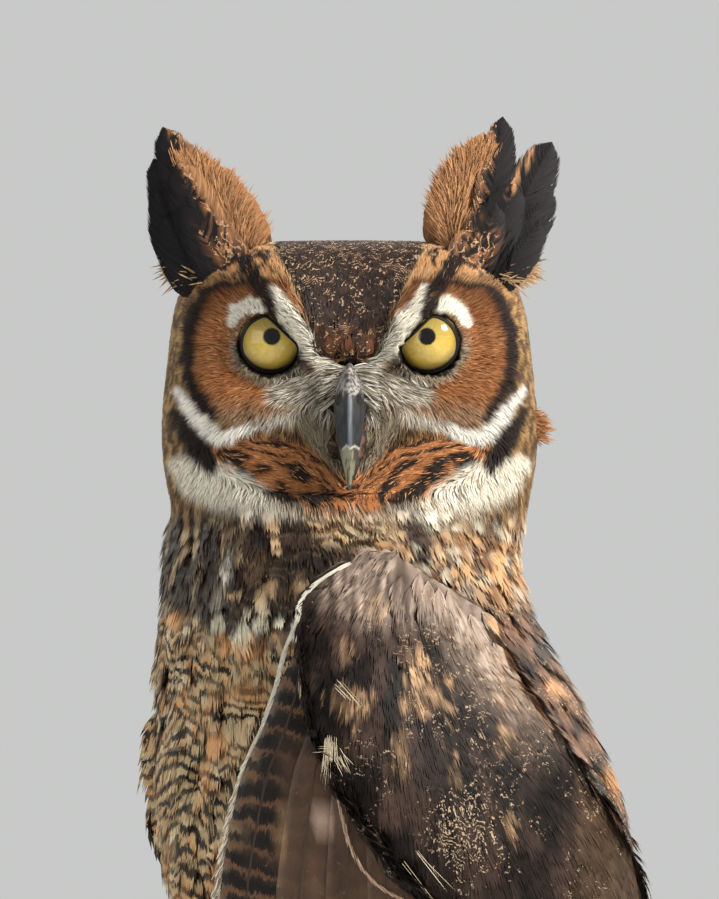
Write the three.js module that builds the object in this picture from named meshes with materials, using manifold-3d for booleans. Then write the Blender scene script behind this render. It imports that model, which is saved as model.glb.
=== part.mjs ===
// A great horned owl, life size, standing on the floor with its head turned to its own left and its left
// wing hanging loosely open. Millimetres, +Z up. The trunk's middle plane is x = 0 and the breast faces -Y.
import * as THREE from "three";
import { mergeVertices } from "three/addons/utils/BufferGeometryUtils.js";
import Module from "manifold-3d";

const wasm = await Module();
wasm.setup();

// ---------------------------------------------------------------- driving dimensions
const CROWN_HEIGHT = 442; // floor to the flat top of the head, without the ear tufts
const CROWN_OVER_EYES = 41;
const EYE_LINE = CROWN_HEIGHT - CROWN_OVER_EYES;
const HEAD_TURN = THREE.MathUtils.degToRad(60); // about the upright neck, to the bird's left
const GAP = 0.3; // clearance between touching pieces
const VANE_GAP = 0.7; // clearance round the twisted sheets of flight feathers

const HEAD_TOP = CROWN_OVER_EYES; // heights within the head are from the eye line
const HEAD_BOTTOM = -100;
const EYE = { x: 30, y: -35.5, z: 1.5, radius: 14 };
const DISC = { width: 33, height: 28, depth: 5, rim: 2 }; // the dish of feathers round each eye
const BROW = { inner: [0, -8], outer: [36, 30], height: 5, reach: 10 };

const NECK_TOP = 346;
const NECK_BOTTOM = 316;
const BODY_TOP = 372;
const BODY_BOTTOM = 62;

// Sections of the feathered body, downwards: height, centre, half width, half depth before and behind.
const BODY_SECTIONS = [
  [372, -5, 62, 60, 58],
  [345, -5, 71, 70, 67],
  [320, -5, 72, 70, 68],
  [290, -2, 76, 71, 72],
  [250, 3, 89, 72, 91],
  [210, 11, 92, 80, 96],
  [170, 22, 88, 82, 88],
  [135, 34, 79, 74, 73],
  [105, 46, 62, 58, 55],
  [62, 62, 36, 34, 34],
];
// Sections of the cloak that the folded wings lie on: it leaves the belly and runs down to the tail.
const CLOAK_SECTIONS = [
  ...BODY_SECTIONS.slice(0, 7),
  [130, 40, 84, 82, 82],
  [90, 60, 74, 84, 66],
  [50, 82, 62, 90, 50],
  [10, 104, 50, 96, 34],
];
const BODY_SQUARENESS = { before: 2.2, behind: 2.5 }; // 2 is an ellipse
const HEAD_SECTIONS = [
  [41, 0, 70, 49, 56],
  [21, 0, 70.5, 50, 58],
  [0, 0, 70.5, 52, 60],
  [-34, 0, 73, 54, 62],
  [-56, 0, 71, 56, 62],
  [-78, -2, 68, 56, 59],
  [-100, -4, 62, 52, 52],
];
const HEAD_SQUARENESS = { before: 2.7, behind: 2.1 };

const TAIL = {
  feathers: 12, rows: 2, thick: 3, step: 0.6, scallop: 0.08,
  root: [0, 72, 178],
  tip: [0, 137, 7],
  narrow: 22,
  wide: 50,
};

const FOOT = { x: 40, y: 15, height: 15, radius: 15.5 };
const SOLE = 1.5; // how far the floor trims each foot and toe, which leaves its flat
const TOE_SIDES = 7;
const TOES = [
  { name: "inner", turn: -16, length: 41, radius: 8.6 },
  { name: "middle", turn: 14, length: 46, radius: 8.8 },
  { name: "outer", turn: 98, length: 38, radius: 8.2 },
  { name: "hind", turn: 176, length: 30, radius: 8.4 },
];
const TALON = { reach: 27, rise: 6, radius: 4.1 };

// ---------------------------------------------------------------- solids
const rad = THREE.MathUtils.degToRad;
const { clamp, lerp, smoothstep } = THREE.MathUtils;

// A smooth reading of a table of stations, whose first number falls from row to row.
function stations(rows) {
  const rising = [...rows].reverse();
  const values = rising.flatMap((row) => row.slice(1));
  const table = new THREE.CubicInterpolant(rising.map((row) => row[0]), values, rows[0].length - 1);
  const [low, high] = [rising[0][0], rising.at(-1)[0]];
  return (at) => [...table.evaluate(clamp(at, low, high))];
}

// Each vertex of a closed geometry is moved by place(x, y, z), and the faces are turned outwards.
function moved(geometry, place) {
  geometry.deleteAttribute("normal");
  geometry.deleteAttribute("uv");
  const at = geometry.attributes.position;
  const target = new THREE.Vector3();
  for (let i = 0; i < at.count; i++) {
    target.copy(place(at.getX(i), at.getY(i), at.getZ(i)));
    at.setXYZ(i, target.x, target.y, target.z);
  }
  return geometry;
}

function solid(geometry) {
  const merged = mergeVertices(geometry, 1e-3);
  const triVerts = new Uint32Array(merged.index.array);
  const mesh = { numProp: 3, vertProperties: merged.attributes.position.array, triVerts };
  const made = new wasm.Manifold(new wasm.Mesh(mesh));
  if (made.volume() > 0) return made;
  for (let i = 0; i < triVerts.length; i += 3) {
    [triVerts[i + 1], triVerts[i + 2]] = [triVerts[i + 2], triVerts[i + 1]];
  }
  return new wasm.Manifold(new wasm.Mesh(mesh));
}

function geometryOf(manifold) {
  const { vertProperties, triVerts } = manifold.getMesh();
  const geometry = new THREE.BufferGeometry();
  geometry.setAttribute("position", new THREE.BufferAttribute(vertProperties, 3));
  geometry.setIndex(new THREE.BufferAttribute(triVerts, 1));
  const facets = geometry.toNonIndexed();
  facets.computeVertexNormals();
  return facets;
}

const largest = (manifold) =>
  manifold.decompose().reduce((best, body) => (body.volume() > best.volume() ? body : best));

const cutBy = (manifold, ...others) =>
  largest(others.reduce((rest, other) => rest.subtract(other), manifold));

function slab(low, high) {
  const size = 700;
  const box = new THREE.BoxGeometry(size, size, high - low).translate(0, 0, (low + high) / 2);
  return solid(moved(box, (x, y, z) => new THREE.Vector3(x, y, z)));
}

// A closed tube of CylinderGeometry rows along a curve. size(t) is [half width, half height], and side is
// the direction of its width.
function tube(curve, size, side, around = 8, rows = 6) {
  const cylinder = new THREE.CylinderGeometry(1, 1, 1, around, rows);
  const across = new THREE.Vector3(...side).normalize();
  return moved(cylinder, (x, y, z) => {
    const t = (1 - Math.cos(Math.PI * (0.5 - y))) / 2;
    const along = curve.getTangent(t);
    const wide = across.clone().addScaledVector(along, -across.dot(along)).normalize();
    const high = new THREE.Vector3().crossVectors(along, wide);
    const [width, height] = size(t);
    return curve.getPoint(t).addScaledVector(wide, x * width).addScaledVector(high, z * height);
  });
}

const rounded = (t, ends = 0.25) => Math.sqrt(1 - (1 - clamp(Math.min(t, 1 - t) / ends, 0.02, 1)) ** 2);
const path = (...points) => new THREE.CatmullRomCurve3(points.map((p) => new THREE.Vector3(...p)));

// ---------------------------------------------------------------- body and head surfaces
const power = (value, exponent) => Math.sign(value) * Math.abs(value) ** exponent;

// A point of a rounded section at an angle from the front (-Y), positive towards the bird's left.
function onSection([centre, width, before, behind], squareness, angle, grow) {
  const square = Math.cos(angle) > 0 ? squareness.before : squareness.behind;
  const depth = Math.cos(angle) > 0 ? before : behind;
  const x = (width + grow) * power(Math.sin(angle), 2 / square);
  const y = centre - (depth + grow) * power(Math.cos(angle), 2 / square);
  return [x, y];
}

const bodyAt = stations(BODY_SECTIONS);
const cloakAt = stations(CLOAK_SECTIONS);
const headAt = stations(HEAD_SECTIONS);

function bodyForm(grow = 0) {
  const middle = (BODY_TOP + BODY_BOTTOM) / 2;
  const half = (BODY_TOP - BODY_BOTTOM) / 2 + grow;
  return solid(
    moved(new THREE.SphereGeometry(1, 26, 15), (sx, sy, sz) => {
      const height = middle + half * sy;
      const end = (1 - Math.abs(sy) ** 4.5) ** (1 / 4.5);
      const [x, y] = onSection(bodyAt(height), BODY_SQUARENESS, Math.atan2(sx, sz), grow);
      const centre = bodyAt(height)[0];
      return new THREE.Vector3(x * end, centre + (y - centre) * end, height);
    }),
  );
}

const gauss = (distance, reach) => Math.exp(-((distance / reach) ** 2));

// How far the face stands forward of the plain head at a place (x, z): brows stand out, discs are dished.
function facePush(x, z) {
  const side = Math.abs(x);
  const ring = Math.hypot((side - EYE.x) / DISC.width, z / DISC.height);
  const dish = -DISC.depth * (1 - smoothstep(ring, 0.35, 0.95)) + DISC.rim * gauss(ring - 1.05, 0.16);
  const [ix, iz] = BROW.inner;
  const [ox, oz] = BROW.outer;
  const span = (ox - ix) ** 2 + (oz - iz) ** 2;
  const t = clamp(((side - ix) * (ox - ix) + (z - iz) * (oz - iz)) / span, 0, 1);
  const off = Math.hypot(side - lerp(ix, ox, t), z - lerp(iz, oz, t));
  return dish * (1 - gauss(off, BROW.reach)) + BROW.height * gauss(off, BROW.reach);
}

function headForm(grow = 0) {
  const middle = (HEAD_TOP + HEAD_BOTTOM) / 2;
  const half = (HEAD_TOP - HEAD_BOTTOM) / 2 + grow;
  const sphere = moved(new THREE.SphereGeometry(1, 28, 19), (sx, sy, sz) => {
    const even = Math.atan2(sx, sz);
    const angle = even - 0.38 * Math.sin(even); // the columns gather on the face
    const square = sy > 0 ? 4.2 : 6;
    const end = (1 - Math.abs(sy) ** square) ** (1 / square);
    const z = middle + half * sy;
    const [x, y] = onSection(headAt(z), HEAD_SQUARENESS, angle, grow);
    const facing = smoothstep(Math.cos(angle), 0.1, 0.5) * smoothstep(end, 0.4, 0.8);
    const push = facing * facePush(x * end, z);
    return new THREE.Vector3(x * end, y * end - push, z);
  });
  return solid(inHead(sphere));
}

// Head pieces are made about the middle of the eye line and then turned with the head.
const headPlace = new THREE.Matrix4().makeRotationZ(HEAD_TURN).setPosition(0, 0, EYE_LINE);
const inHead = (geometry) => geometry.applyMatrix4(headPlace);

function ball(x, y, z, radius, around = 12, rows = 8) {
  const sphere = new THREE.SphereGeometry(radius, around, rows).rotateX(Math.PI / 2).translate(x, y, z);
  return moved(sphere, (px, py, pz) => new THREE.Vector3(px, py, pz));
}

const eyeForm = (side, grow = 0) => solid(inHead(ball(side * EYE.x, EYE.y, EYE.z, EYE.radius + grow)));

const BILL_RIDGE = [
  [0, -42, -17], [0, -57, -18], [0, -66.5, -26], [0, -70, -38], [0, -68, -48], [0, -66, -55],
];
// The upper bill is a hook that leaves the brow, bulges forward and ends in a point.
function billForm(grow = 0) {
  const line = path(...BILL_RIDGE);
  const wide = (t) => 6.4 * (1 - smoothstep(t, 0.45, 1.05)) ** 0.8 + 0.4;
  const high = (t) => lerp(9.5, 8, t) * (1 - smoothstep(t, 0.35, 1.05)) ** 0.8 + 0.6;
  return solid(inHead(tube(line, (t) => [wide(t) + grow, high(t) + grow], [1, 0, 0], 10, 8)));
}

function lowerBillForm(grow = 0) {
  const line = path([0, -42, -37], [0, -54, -40], [0, -61, -46], [0, -62.5, -51]);
  const size = (t) => [6.6 * (1 - 0.75 * t ** 2) + grow, 4.5 * (1 - 0.7 * t ** 2) + grow];
  return solid(inHead(tube(line, size, [1, 0, 0], 8, 4)));
}

// An ear tuft is a flat stack of feathers, seen here as one leaf that is widest low down.
function tuftForm({ root, bend, tip, width }, grow = 0) {
  const line = path(root, bend, tip);
  const outline = (t) => width * Math.max(0.14, Math.sqrt(1 - t ** 3.2));
  const thick = (t) => lerp(7.5, 1.6, t);
  return solid(inHead(tube(line, (t) => [outline(t) + grow, thick(t) + grow], [1, -0.25, 0.1], 7, 6)));
}
const TUFTS = {
  tuft_right: { root: [-47, -22, 12], bend: [-58.5, -19, 54], tip: [-70, -12, 84], width: 18.5 },
  tuft_left_inner: { root: [40, -22, 10], bend: [44, -19, 55], tip: [57, -12, 87.5], width: 14.5 },
  tuft_left_outer: { root: [52, -16, 14], bend: [67, -12, 52], tip: [75.5, -6, 79], width: 12 },
};

// ---------------------------------------------------------------- wings
// A point of the cloak: angle in degrees round from the breast, height, and how far it stands out.
function onCloak(side, angle, height, out) {
  const section = cloakAt(height);
  const [x, y] = onSection(section, BODY_SQUARENESS, rad(angle), 0);
  const away = new THREE.Vector2(x, y - section[0]).normalize();
  return new THREE.Vector3(side * (x + away.x * out), y + away.y * out, height);
}

// A lens-shaped layer of the wing. Each row of edges is [height, front angle, back angle, front out, back
// out], downwards, and the layer is thickest in its middle.
function layerForm(side, edges, thick, grow = 0, columns = 6, rows = 8) {
  const edgeAt = stations(edges);
  const top = edges[0][0] + grow;
  const bottom = edges.at(-1)[0] - grow;
  const box = new THREE.BoxGeometry(2, 2, 2, columns, rows, 1);
  return solid(
    moved(box, (s, t, face) => {
      const height = lerp(top, bottom, (1 - t) / 2);
      const [front, back, frontOut, backOut] = edgeAt(height);
      const spare = grow * 0.9;
      const angle = lerp(front - spare, back + spare, (s + 1) / 2);
      const body = Math.sqrt((1 - s * s * 0.93) * (1 - t * t * 0.93));
      const out = lerp(frontOut, backOut, smoothstep(s, -1, 1)) - thick * body * 0.5;
      return onCloak(side, angle, height, out + face * (thick * body * 0.5 + 0.5 + grow));
    }),
  );
}

// A row of long feathers that overlap like slates, joined in one sheet. lie(across, along) gives a place
// of the sheet and the way out of it: across counts from the first feather to the last, and along runs
// from the roots to the tips.
const VANE = [0.03, 0.5, 0.97]; // the places across each feather that hold its edges and its shaft
function fanForm({ feathers, rows, thick, step, scallop }, lie, grow = 0) {
  const columns = feathers * VANE.length - 1;
  const box = new THREE.BoxGeometry(2, 2, 2, columns, rows, 1);
  return solid(
    moved(box, (s, v, face) => {
      const column = Math.round(((s + 1) / 2) * columns);
      const part = column % VANE.length;
      const across = (Math.floor(column / VANE.length) + VANE[part]) / feathers;
      const t = (1 - v) / 2;
      const along = t * (part === 1 ? 1 : 1 - scallop * t ** 3);
      const near = 0.01;
      const [here, outward] = lie(across, along);
      const down = lie(across, along + near)[0].sub(lie(across, along - near)[0]).normalize();
      const aside = new THREE.Vector3().crossVectors(down, outward).normalize();
      const forward = Math.sign(lie(across + near, along)[0].sub(here).dot(aside));
      const rim = column === 0 ? -grow : column === columns ? grow : 0;
      return here
        .addScaledVector(outward, step * (part - 1) + face * (thick / 2 + grow))
        .addScaledVector(down, v < -0.99 ? grow : v > 0.99 ? -grow : 0)
        .addScaledVector(aside, rim * forward);
    }),
  );
}

// The lie of a row of feathers on the cloak. roots and tips hold the first and the last feather's angle,
// height and stand-out, reach is how much lower the longest tips hang, and a sweep over 1 swings a shaft
// round the body late, under 1 early.
const between = ([first, last], share) => first.map((value, i) => lerp(value, last[i], share));
const onWing = (side, { roots, tips, reach, sweep }) => (across, along) => {
  const root = between(roots, across);
  const tip = between(tips, across);
  const angle = lerp(root[0], tip[0], Math.max(along, 0) ** lerp(...sweep, across));
  const lowest = tip[1] - reach * Math.sin(Math.PI * across ** 1.3);
  const height = lerp(root[1], lowest, along);
  const here = onCloak(side, angle, height, lerp(root[2], tip[2], along));
  return [here, onCloak(side, angle, height, 40).sub(onCloak(side, angle, height, 0)).normalize()];
};

// The loose left wing: its edge stands out before the belly, and the hand's feathers fan down from it.
const LEFT_ARM = [
  [325, 69, 75, 20, 20],
  [318, 60, 88, 21, 17],
  [304, 50, 98, 20, 10],
  [278, 46, 105, 20, 5],
  [251, 45, 112, 20, 3],
  [230, 51, 122, 19, 3],
  [215, 57, 130, 18, 3],
  [192, 68, 142, 15, 3],
  [165, 92, 152, 9, 3],
  [148, 118, 142, 5, 3],
];
const LEFT_SECONDARIES = {
  feathers: 8, rows: 3, thick: 3, step: 0.8, scallop: 0.1, reach: 0,
  roots: [[80, 212, 8], [126, 206, 1]],
  tips: [[148, 84, 5], [174, 126, 2]],
  sweep: [1.8, 1],
};
const LEFT_PRIMARIES = {
  feathers: 10, rows: 4, thick: 3, step: 0.8, scallop: 0.07, reach: 50,
  roots: [[88, 225, -1], [49, 298, 12]],
  tips: [[140, 80, -3], [7, 92, 27]],
  sweep: [1.4, 0.5],
};
const RIGHT_ARM = [
  [314, 72, 84, 3, 4],
  [302, 62, 110, 3, 4],
  [280, 54, 138, 3, 3],
  [250, 47, 156, 3, 3],
  [215, 46, 165, 4, 3],
  [185, 58, 168, 5, 3],
  [160, 80, 168, 4, 3],
  [144, 104, 156, 3, 3],
];
const RIGHT_SECONDARIES = {
  feathers: 8, rows: 3, thick: 3, step: 0.8, scallop: 0.1, reach: 0,
  roots: [[62, 200, 3], [138, 196, 1]],
  tips: [[142, 74, 3], [175, 114, 2]],
  sweep: [1.8, 1],
};
const RIGHT_PRIMARIES = {
  feathers: 10, rows: 3, thick: 3, step: 0.8, scallop: 0.07, reach: 14,
  roots: [[104, 160, -5], [56, 176, -4]],
  tips: [[172, 104, -4], [126, 46, -3]],
  sweep: [1.2, 1.5],
};
const WINGS = {
  left: { arm: LEFT_ARM, thick: 20, secondaries: LEFT_SECONDARIES, primaries: LEFT_PRIMARIES },
  right: { arm: RIGHT_ARM, thick: 13, secondaries: RIGHT_SECONDARIES, primaries: RIGHT_PRIMARIES },
};
const wingOf = (side) => (side > 0 ? WINGS.left : WINGS.right);
const armForm = (side, grow) => layerForm(side, wingOf(side).arm, wingOf(side).thick, grow);
const flightForm = (side, row, grow) => fanForm(row, onWing(side, row), grow);
const secondariesForm = (side, grow) => flightForm(side, wingOf(side).secondaries, grow);
const primariesForm = (side, grow) => flightForm(side, wingOf(side).primaries, grow);

// ---------------------------------------------------------------- tail
function tailForm(grow = 0) {
  const [, rootY, rootZ] = TAIL.root;
  const [, tipY, tipZ] = TAIL.tip;
  const arch = (off) => 14 * off * off; // the outer feathers lie lower on the belly side and end higher
  const lie = (across, along) => {
    const off = 2 * across - 1;
    const x = off * lerp(TAIL.narrow, TAIL.wide, along);
    const y = lerp(rootY, tipY, along) - arch(off);
    const z = lerp(rootZ, tipZ, along) + (along * arch(off)) / 2;
    return [new THREE.Vector3(x, y, z), new THREE.Vector3(off * 0.25, 1, 0.35).normalize()];
  };
  return fanForm(TAIL, lie, grow);
}

// ---------------------------------------------------------------- legs and feet
function thighForm(side, grow = 0) {
  const line = path([side * 34, 34, 150], [side * 38, 22, 105], [side * 39, 15, 58]);
  const size = (t) => {
    const end = rounded(t, 0.18);
    return [lerp(36, 19, t ** 0.8) * end + grow, lerp(40, 20, t ** 0.8) * end + grow];
  };
  return solid(tube(line, size, [1, 0, 0], 9, 5));
}

function shankForm(side, grow = 0) {
  const line = path([side * 39, 15, 72], [side * FOOT.x, 14, 44], [side * FOOT.x, FOOT.y, 13]);
  const size = (t) => {
    const end = rounded(t, 0.12);
    return [lerp(16.5, 14, t) * end + grow, lerp(17.5, 15, t) * end + grow];
  };
  return solid(tube(line, size, [1, 0, 0], 9, 4));
}

const footCentre = (side) => [side * FOOT.x, FOOT.y, FOOT.height - SOLE];

function footForm(side, grow = 0) {
  const [x, y, z] = footCentre(side);
  const radius = FOOT.radius + grow;
  return solid(ball(0, 0, 0, radius, 9, 6).scale(1.1, 1.15, FOOT.height / FOOT.radius).translate(x, y, z));
}

function toeLine(side, toe, from, to, heights) {
  const [x, y] = footCentre(side);
  const turn = rad(toe.turn) * side;
  const at = (reach, height) => [x + Math.sin(turn) * reach, y - Math.cos(turn) * reach, height];
  return path(...heights.map((height, i) => at(lerp(from, to, i / (heights.length - 1)), height)));
}

const toeSide = (side, toe) => [Math.cos(rad(toe.turn)), Math.sin(rad(toe.turn) * side), 0];

// A toe arches over its joint and comes down on its pad.
function toeForm(side, toe, grow = 0) {
  const level = toe.radius * Math.cos(Math.PI / TOE_SIDES) - SOLE;
  const line = toeLine(side, toe, 4, toe.length + 6, [level + 3, level + 3.4, level + 0.5, level]);
  const size = (t) => {
    const radius = toe.radius * rounded(t, 0.2);
    return [radius * lerp(1, 0.86, t) + grow, radius + grow];
  };
  return solid(tube(line, size, toeSide(side, toe), TOE_SIDES, 4));
}

function talonForm(side, toe, grow = 0) {
  const start = toe.length - 2;
  const line = toeLine(side, toe, start, start + TALON.reach + 4, [9, 9 + TALON.rise, 8.5, 0.9]);
  const size = (t) => {
    const radius = TALON.radius * (1 - 0.88 * t ** 1.4);
    return [radius * 0.85 + grow, radius + grow];
  };
  return solid(tube(line, size, toeSide(side, toe), 5, 3));
}

// ---------------------------------------------------------------- colours
const finish = (color, roughness) => new THREE.MeshStandardMaterial({ color, roughness, metalness: 0 });
const FINISHES = {
  crown: finish(0x4a3a30, 0.9),
  plumage: finish(0x6d5240, 0.9),
  breast: finish(0x9a7a5a, 0.9),
  coverts: finish(0x50413a, 0.85),
  flight: finish(0x3e332d, 0.8),
  tuft: finish(0x2b2628, 0.9),
  leg: finish(0xc9ad85, 0.95),
  horn: finish(0x2c2e33, 0.35),
  eye: finish(0xd2b64a, 0.1),
};

// ---------------------------------------------------------------- assembly
const owl = new THREE.Group();

function piece(name, manifold, material) {
  const mesh = new THREE.Mesh(geometryOf(manifold), material);
  mesh.name = name;
  owl.add(mesh);
  return mesh;
}

const SIDES = { left: 1, right: -1 };
const each = (make) => Object.entries(SIDES).map(([name, side]) => make(side, name));

function buildHeadAndTrunk() {
  const body = bodyForm();
  const head = headForm();
  const face = [...each((side) => eyeForm(side, GAP)), billForm(GAP), lowerBillForm(GAP)];
  piece("head", cutBy(head.intersect(slab(NECK_TOP + GAP, 600)), ...face), FINISHES.crown);
  const neck = body.add(head).intersect(slab(NECK_BOTTOM + GAP, NECK_TOP));
  piece("neck", cutBy(neck, ...face), FINISHES.plumage);
  piece("trunk", body.intersect(slab(0, NECK_BOTTOM)), FINISHES.breast);
}

function buildFace() {
  each((side, name) => piece("eye_" + name, eyeForm(side), FINISHES.eye));
  piece("bill_upper", billForm(), FINISHES.horn);
  piece("bill_lower", cutBy(lowerBillForm(), billForm(GAP)), FINISHES.horn);
  const cutters = [headForm(GAP)];
  for (const [name, tuft] of Object.entries(TUFTS)) {
    piece(name, cutBy(tuftForm(tuft), ...cutters), FINISHES.tuft);
    cutters.push(tuftForm(tuft, GAP));
  }
}

// The wings lie on the body, so it is the wings that are cut where the two meet.
function buildWings() {
  const body = bodyForm(GAP);
  const head = headForm(GAP);
  each((side, name) => {
    const arm = armForm(side, GAP);
    const secondaries = secondariesForm(side, VANE_GAP);
    piece(`wing_${name}_arm`, cutBy(armForm(side, 0), body, head), FINISHES.coverts);
    piece(`wing_${name}_secondaries`, cutBy(secondariesForm(side, 0), body, arm), FINISHES.flight);
    piece(`wing_${name}_primaries`, cutBy(primariesForm(side), body, arm, secondaries), FINISHES.flight);
  });
}

function buildTail() {
  const around = each((side) => [secondariesForm(side, VANE_GAP), primariesForm(side, VANE_GAP)]);
  piece("tail", cutBy(tailForm(), bodyForm(GAP), ...around.flat()), FINISHES.flight);
}

function buildLegs() {
  const aboveFloor = slab(0, 300);
  each((side, name) => {
    piece("thigh_" + name, cutBy(thighForm(side), bodyForm(GAP)), FINISHES.leg);
    piece("shank_" + name, cutBy(shankForm(side), thighForm(side, GAP)), FINISHES.leg);
    const foot = footForm(side).intersect(aboveFloor);
    piece("foot_" + name, cutBy(foot, shankForm(side, GAP)), FINISHES.leg);
    const cutters = [footForm(side, GAP), shankForm(side, GAP)];
    for (const toe of TOES) {
      const toeSolid = toeForm(side, toe).intersect(aboveFloor);
      piece(`toe_${name}_${toe.name}`, cutBy(toeSolid, ...cutters), FINISHES.leg);
      const around = toeForm(side, toe, GAP);
      piece(`talon_${name}_${toe.name}`, cutBy(talonForm(side, toe), around), FINISHES.horn);
      cutters.push(around);
    }
  });
}

buildHeadAndTrunk();
buildFace();
buildWings();
buildTail();
buildLegs();

// The origin is the middle of the whole bird's footprint, on the floor.
const extent = new THREE.Box3().setFromObject(owl);
const middle = extent.getCenter(new THREE.Vector3());
owl.position.set(-middle.x, -middle.y, -extent.min.z);

export default owl;
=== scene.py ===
# %% [markdown]
# # A great horned owl, life size
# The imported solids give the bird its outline, size and pose. This script dresses them: one seamless skin,
# a coat of many small feathers that follows the lie of the plumage, long flight feathers with shafts and
# vanes, glassy eyes, a horn bill and claws. Lengths in the helpers are in millimetres, because a feather is
# easier to think of as 12 mm than as 0.012 m, and they become metres when a mesh is made.

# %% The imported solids
import math
from functools import partial
from itertools import product

import bpy
import numpy as np
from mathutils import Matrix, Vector
from mathutils.bvhtree import BVHTree


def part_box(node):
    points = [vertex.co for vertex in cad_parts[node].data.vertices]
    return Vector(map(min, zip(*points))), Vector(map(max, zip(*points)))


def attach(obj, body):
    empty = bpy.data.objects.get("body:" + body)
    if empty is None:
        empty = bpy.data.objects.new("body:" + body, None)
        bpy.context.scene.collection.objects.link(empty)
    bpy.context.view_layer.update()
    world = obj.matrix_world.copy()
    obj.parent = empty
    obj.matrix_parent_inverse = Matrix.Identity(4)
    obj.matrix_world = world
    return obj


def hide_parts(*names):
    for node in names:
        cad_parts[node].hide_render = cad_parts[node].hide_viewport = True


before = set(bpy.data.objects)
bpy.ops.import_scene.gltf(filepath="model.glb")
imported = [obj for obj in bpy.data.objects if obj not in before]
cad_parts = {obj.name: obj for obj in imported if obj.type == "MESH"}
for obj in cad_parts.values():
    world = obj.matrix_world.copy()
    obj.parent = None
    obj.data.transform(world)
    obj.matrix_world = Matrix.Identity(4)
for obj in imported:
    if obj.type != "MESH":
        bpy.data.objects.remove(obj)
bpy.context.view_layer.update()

MM = 0.001
SIDES = {"left": 1, "right": -1}
dice = np.random.default_rng(20)


def linked(name, data):
    """A new object in the scene."""
    made = bpy.data.objects.new(name, data)
    bpy.context.scene.collection.objects.link(made)
    return made


# %% [markdown]
# ## Where the head is
# The head is turned to the bird's left, so a second set of axes is useful: x towards the bird's left eye,
# y towards the back of the head, z up, with the middle of the eye line as its origin. The two eyeballs of
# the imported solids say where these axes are, so nothing has to be typed in again.

# %% Head axes
EYE_FORWARD = 35.5  # from the head's middle axis to the middle of an eyeball
EYE_ABOVE_LINE = 1.5
EYE_APART = 30


def middle_of(node):
    low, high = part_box(node)
    return np.array((low + high) / 2) / MM


eye_left, eye_right = middle_of("eye_left"), middle_of("eye_right")
HEAD_X = (eye_left - eye_right) / np.linalg.norm(eye_left - eye_right)
HEAD_Z = np.array([0.0, 0.0, 1.0])
HEAD_Y = np.cross(HEAD_Z, HEAD_X)
HEAD_AXES = np.array([HEAD_X, HEAD_Y, HEAD_Z])
HEAD_MIDDLE = (eye_left + eye_right) / 2 + HEAD_Y * EYE_FORWARD - HEAD_Z * EYE_ABOVE_LINE
SHIFT = HEAD_MIDDLE[1]  # the model stands with its middle over the origin


def in_head(places):
    return (places - HEAD_MIDDLE) @ HEAD_AXES.T


def from_head(places):
    return places @ HEAD_AXES + HEAD_MIDDLE


print("the eye line is", HEAD_MIDDLE[2], "mm up")

# %% [markdown]
# ## Camera and light
# A long lens looks the owl straight in the face at eye level. The light is soft panels over a pale world:
# a warm one high on the right, a weak one on the left and two behind that catch the edges of the coat.

# %% Camera
VIEW_DISTANCE = 2500
VIEW_HEIGHT = 341.62  # how much of the bird the view takes in, from top to bottom
AIM_ASIDE, AIM_BELOW, AIM_FORWARD = 3.8, 39.71, 34  # from the middle of the eye line

camera_data = bpy.data.cameras.new("portrait_camera")
camera = linked("portrait_camera", camera_data)
bpy.context.scene.camera = camera
aim = HEAD_MIDDLE - HEAD_Y * AIM_FORWARD + HEAD_X * AIM_ASIDE - HEAD_Z * AIM_BELOW
camera.location = Vector((aim - HEAD_Y * VIEW_DISTANCE) * MM)
camera.rotation_euler = Vector(HEAD_Y).to_track_quat("-Z", "Y").to_euler()
camera_data.sensor_width = 36
camera_data.lens = camera_data.sensor_width * VIEW_DISTANCE / VIEW_HEIGHT
camera_data.clip_end = 60
print("lens", round(camera_data.lens, 1), "mm")


# %% Light
def panel(name, right, back, up, size, watts, color):
    light = bpy.data.lights.new(name, "AREA")
    light.size = size
    light.energy = watts
    light.color = color
    lamp = linked(name, light)
    offset = Vector(HEAD_X) * right + Vector(HEAD_Y) * back + Vector(HEAD_Z) * up
    lamp.location = Vector((HEAD_MIDDLE + HEAD_Z * -60) * MM) + offset
    lamp.rotation_euler = (-offset).to_track_quat("-Z", "Y").to_euler()


panel("key_light", 1.5, -0.85, 1.3, 0.55, 78, (1.0, 0.965, 0.91))
panel("fill_light", -1.2, -1.3, 0.4, 1.2, 8, (0.94, 0.97, 1.0))
panel("edge_light", 0.9, 1.2, 1.2, 0.8, 40, (1.0, 0.97, 0.92))
panel("left_edge_light", -1.2, 0.9, 0.7, 0.8, 12, (0.95, 1.0, 0.92))

world = bpy.data.worlds.new("studio")
world.use_nodes = True
backdrop = world.node_tree.nodes["Background"]
backdrop.inputs["Color"].default_value = (0.74, 0.75, 0.74, 1)
seen = world.node_tree.nodes.new("ShaderNodeLightPath")  # the backdrop looks paler than it shines
paler = world.node_tree.nodes.new("ShaderNodeMapRange")
paler.inputs["To Min"].default_value = 0.4
paler.inputs["To Max"].default_value = 0.78
world.node_tree.links.new(seen.outputs["Is Camera Ray"], paler.inputs["Value"])
world.node_tree.links.new(paler.outputs["Result"], backdrop.inputs["Strength"])
bpy.context.scene.world = world
bpy.context.scene.view_settings.view_transform = "Standard"
print("lights:", len(bpy.data.lights))

# %% [markdown]
# ## Helpers for meshes and noise
# Thousands of feathers are quickest to make as arrays of corners and triangles. One function turns such
# arrays into a Blender mesh and gives it its map and its attributes. The noise is made here as well, so
# that skin and feathers can ask for the same irregular pattern at the same place.


# %% Noise and soft steps
def soft(low, high, value):
    t = np.clip((value - low) / (high - low), 0, 1)
    return t * t * (3 - 2 * t)


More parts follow.
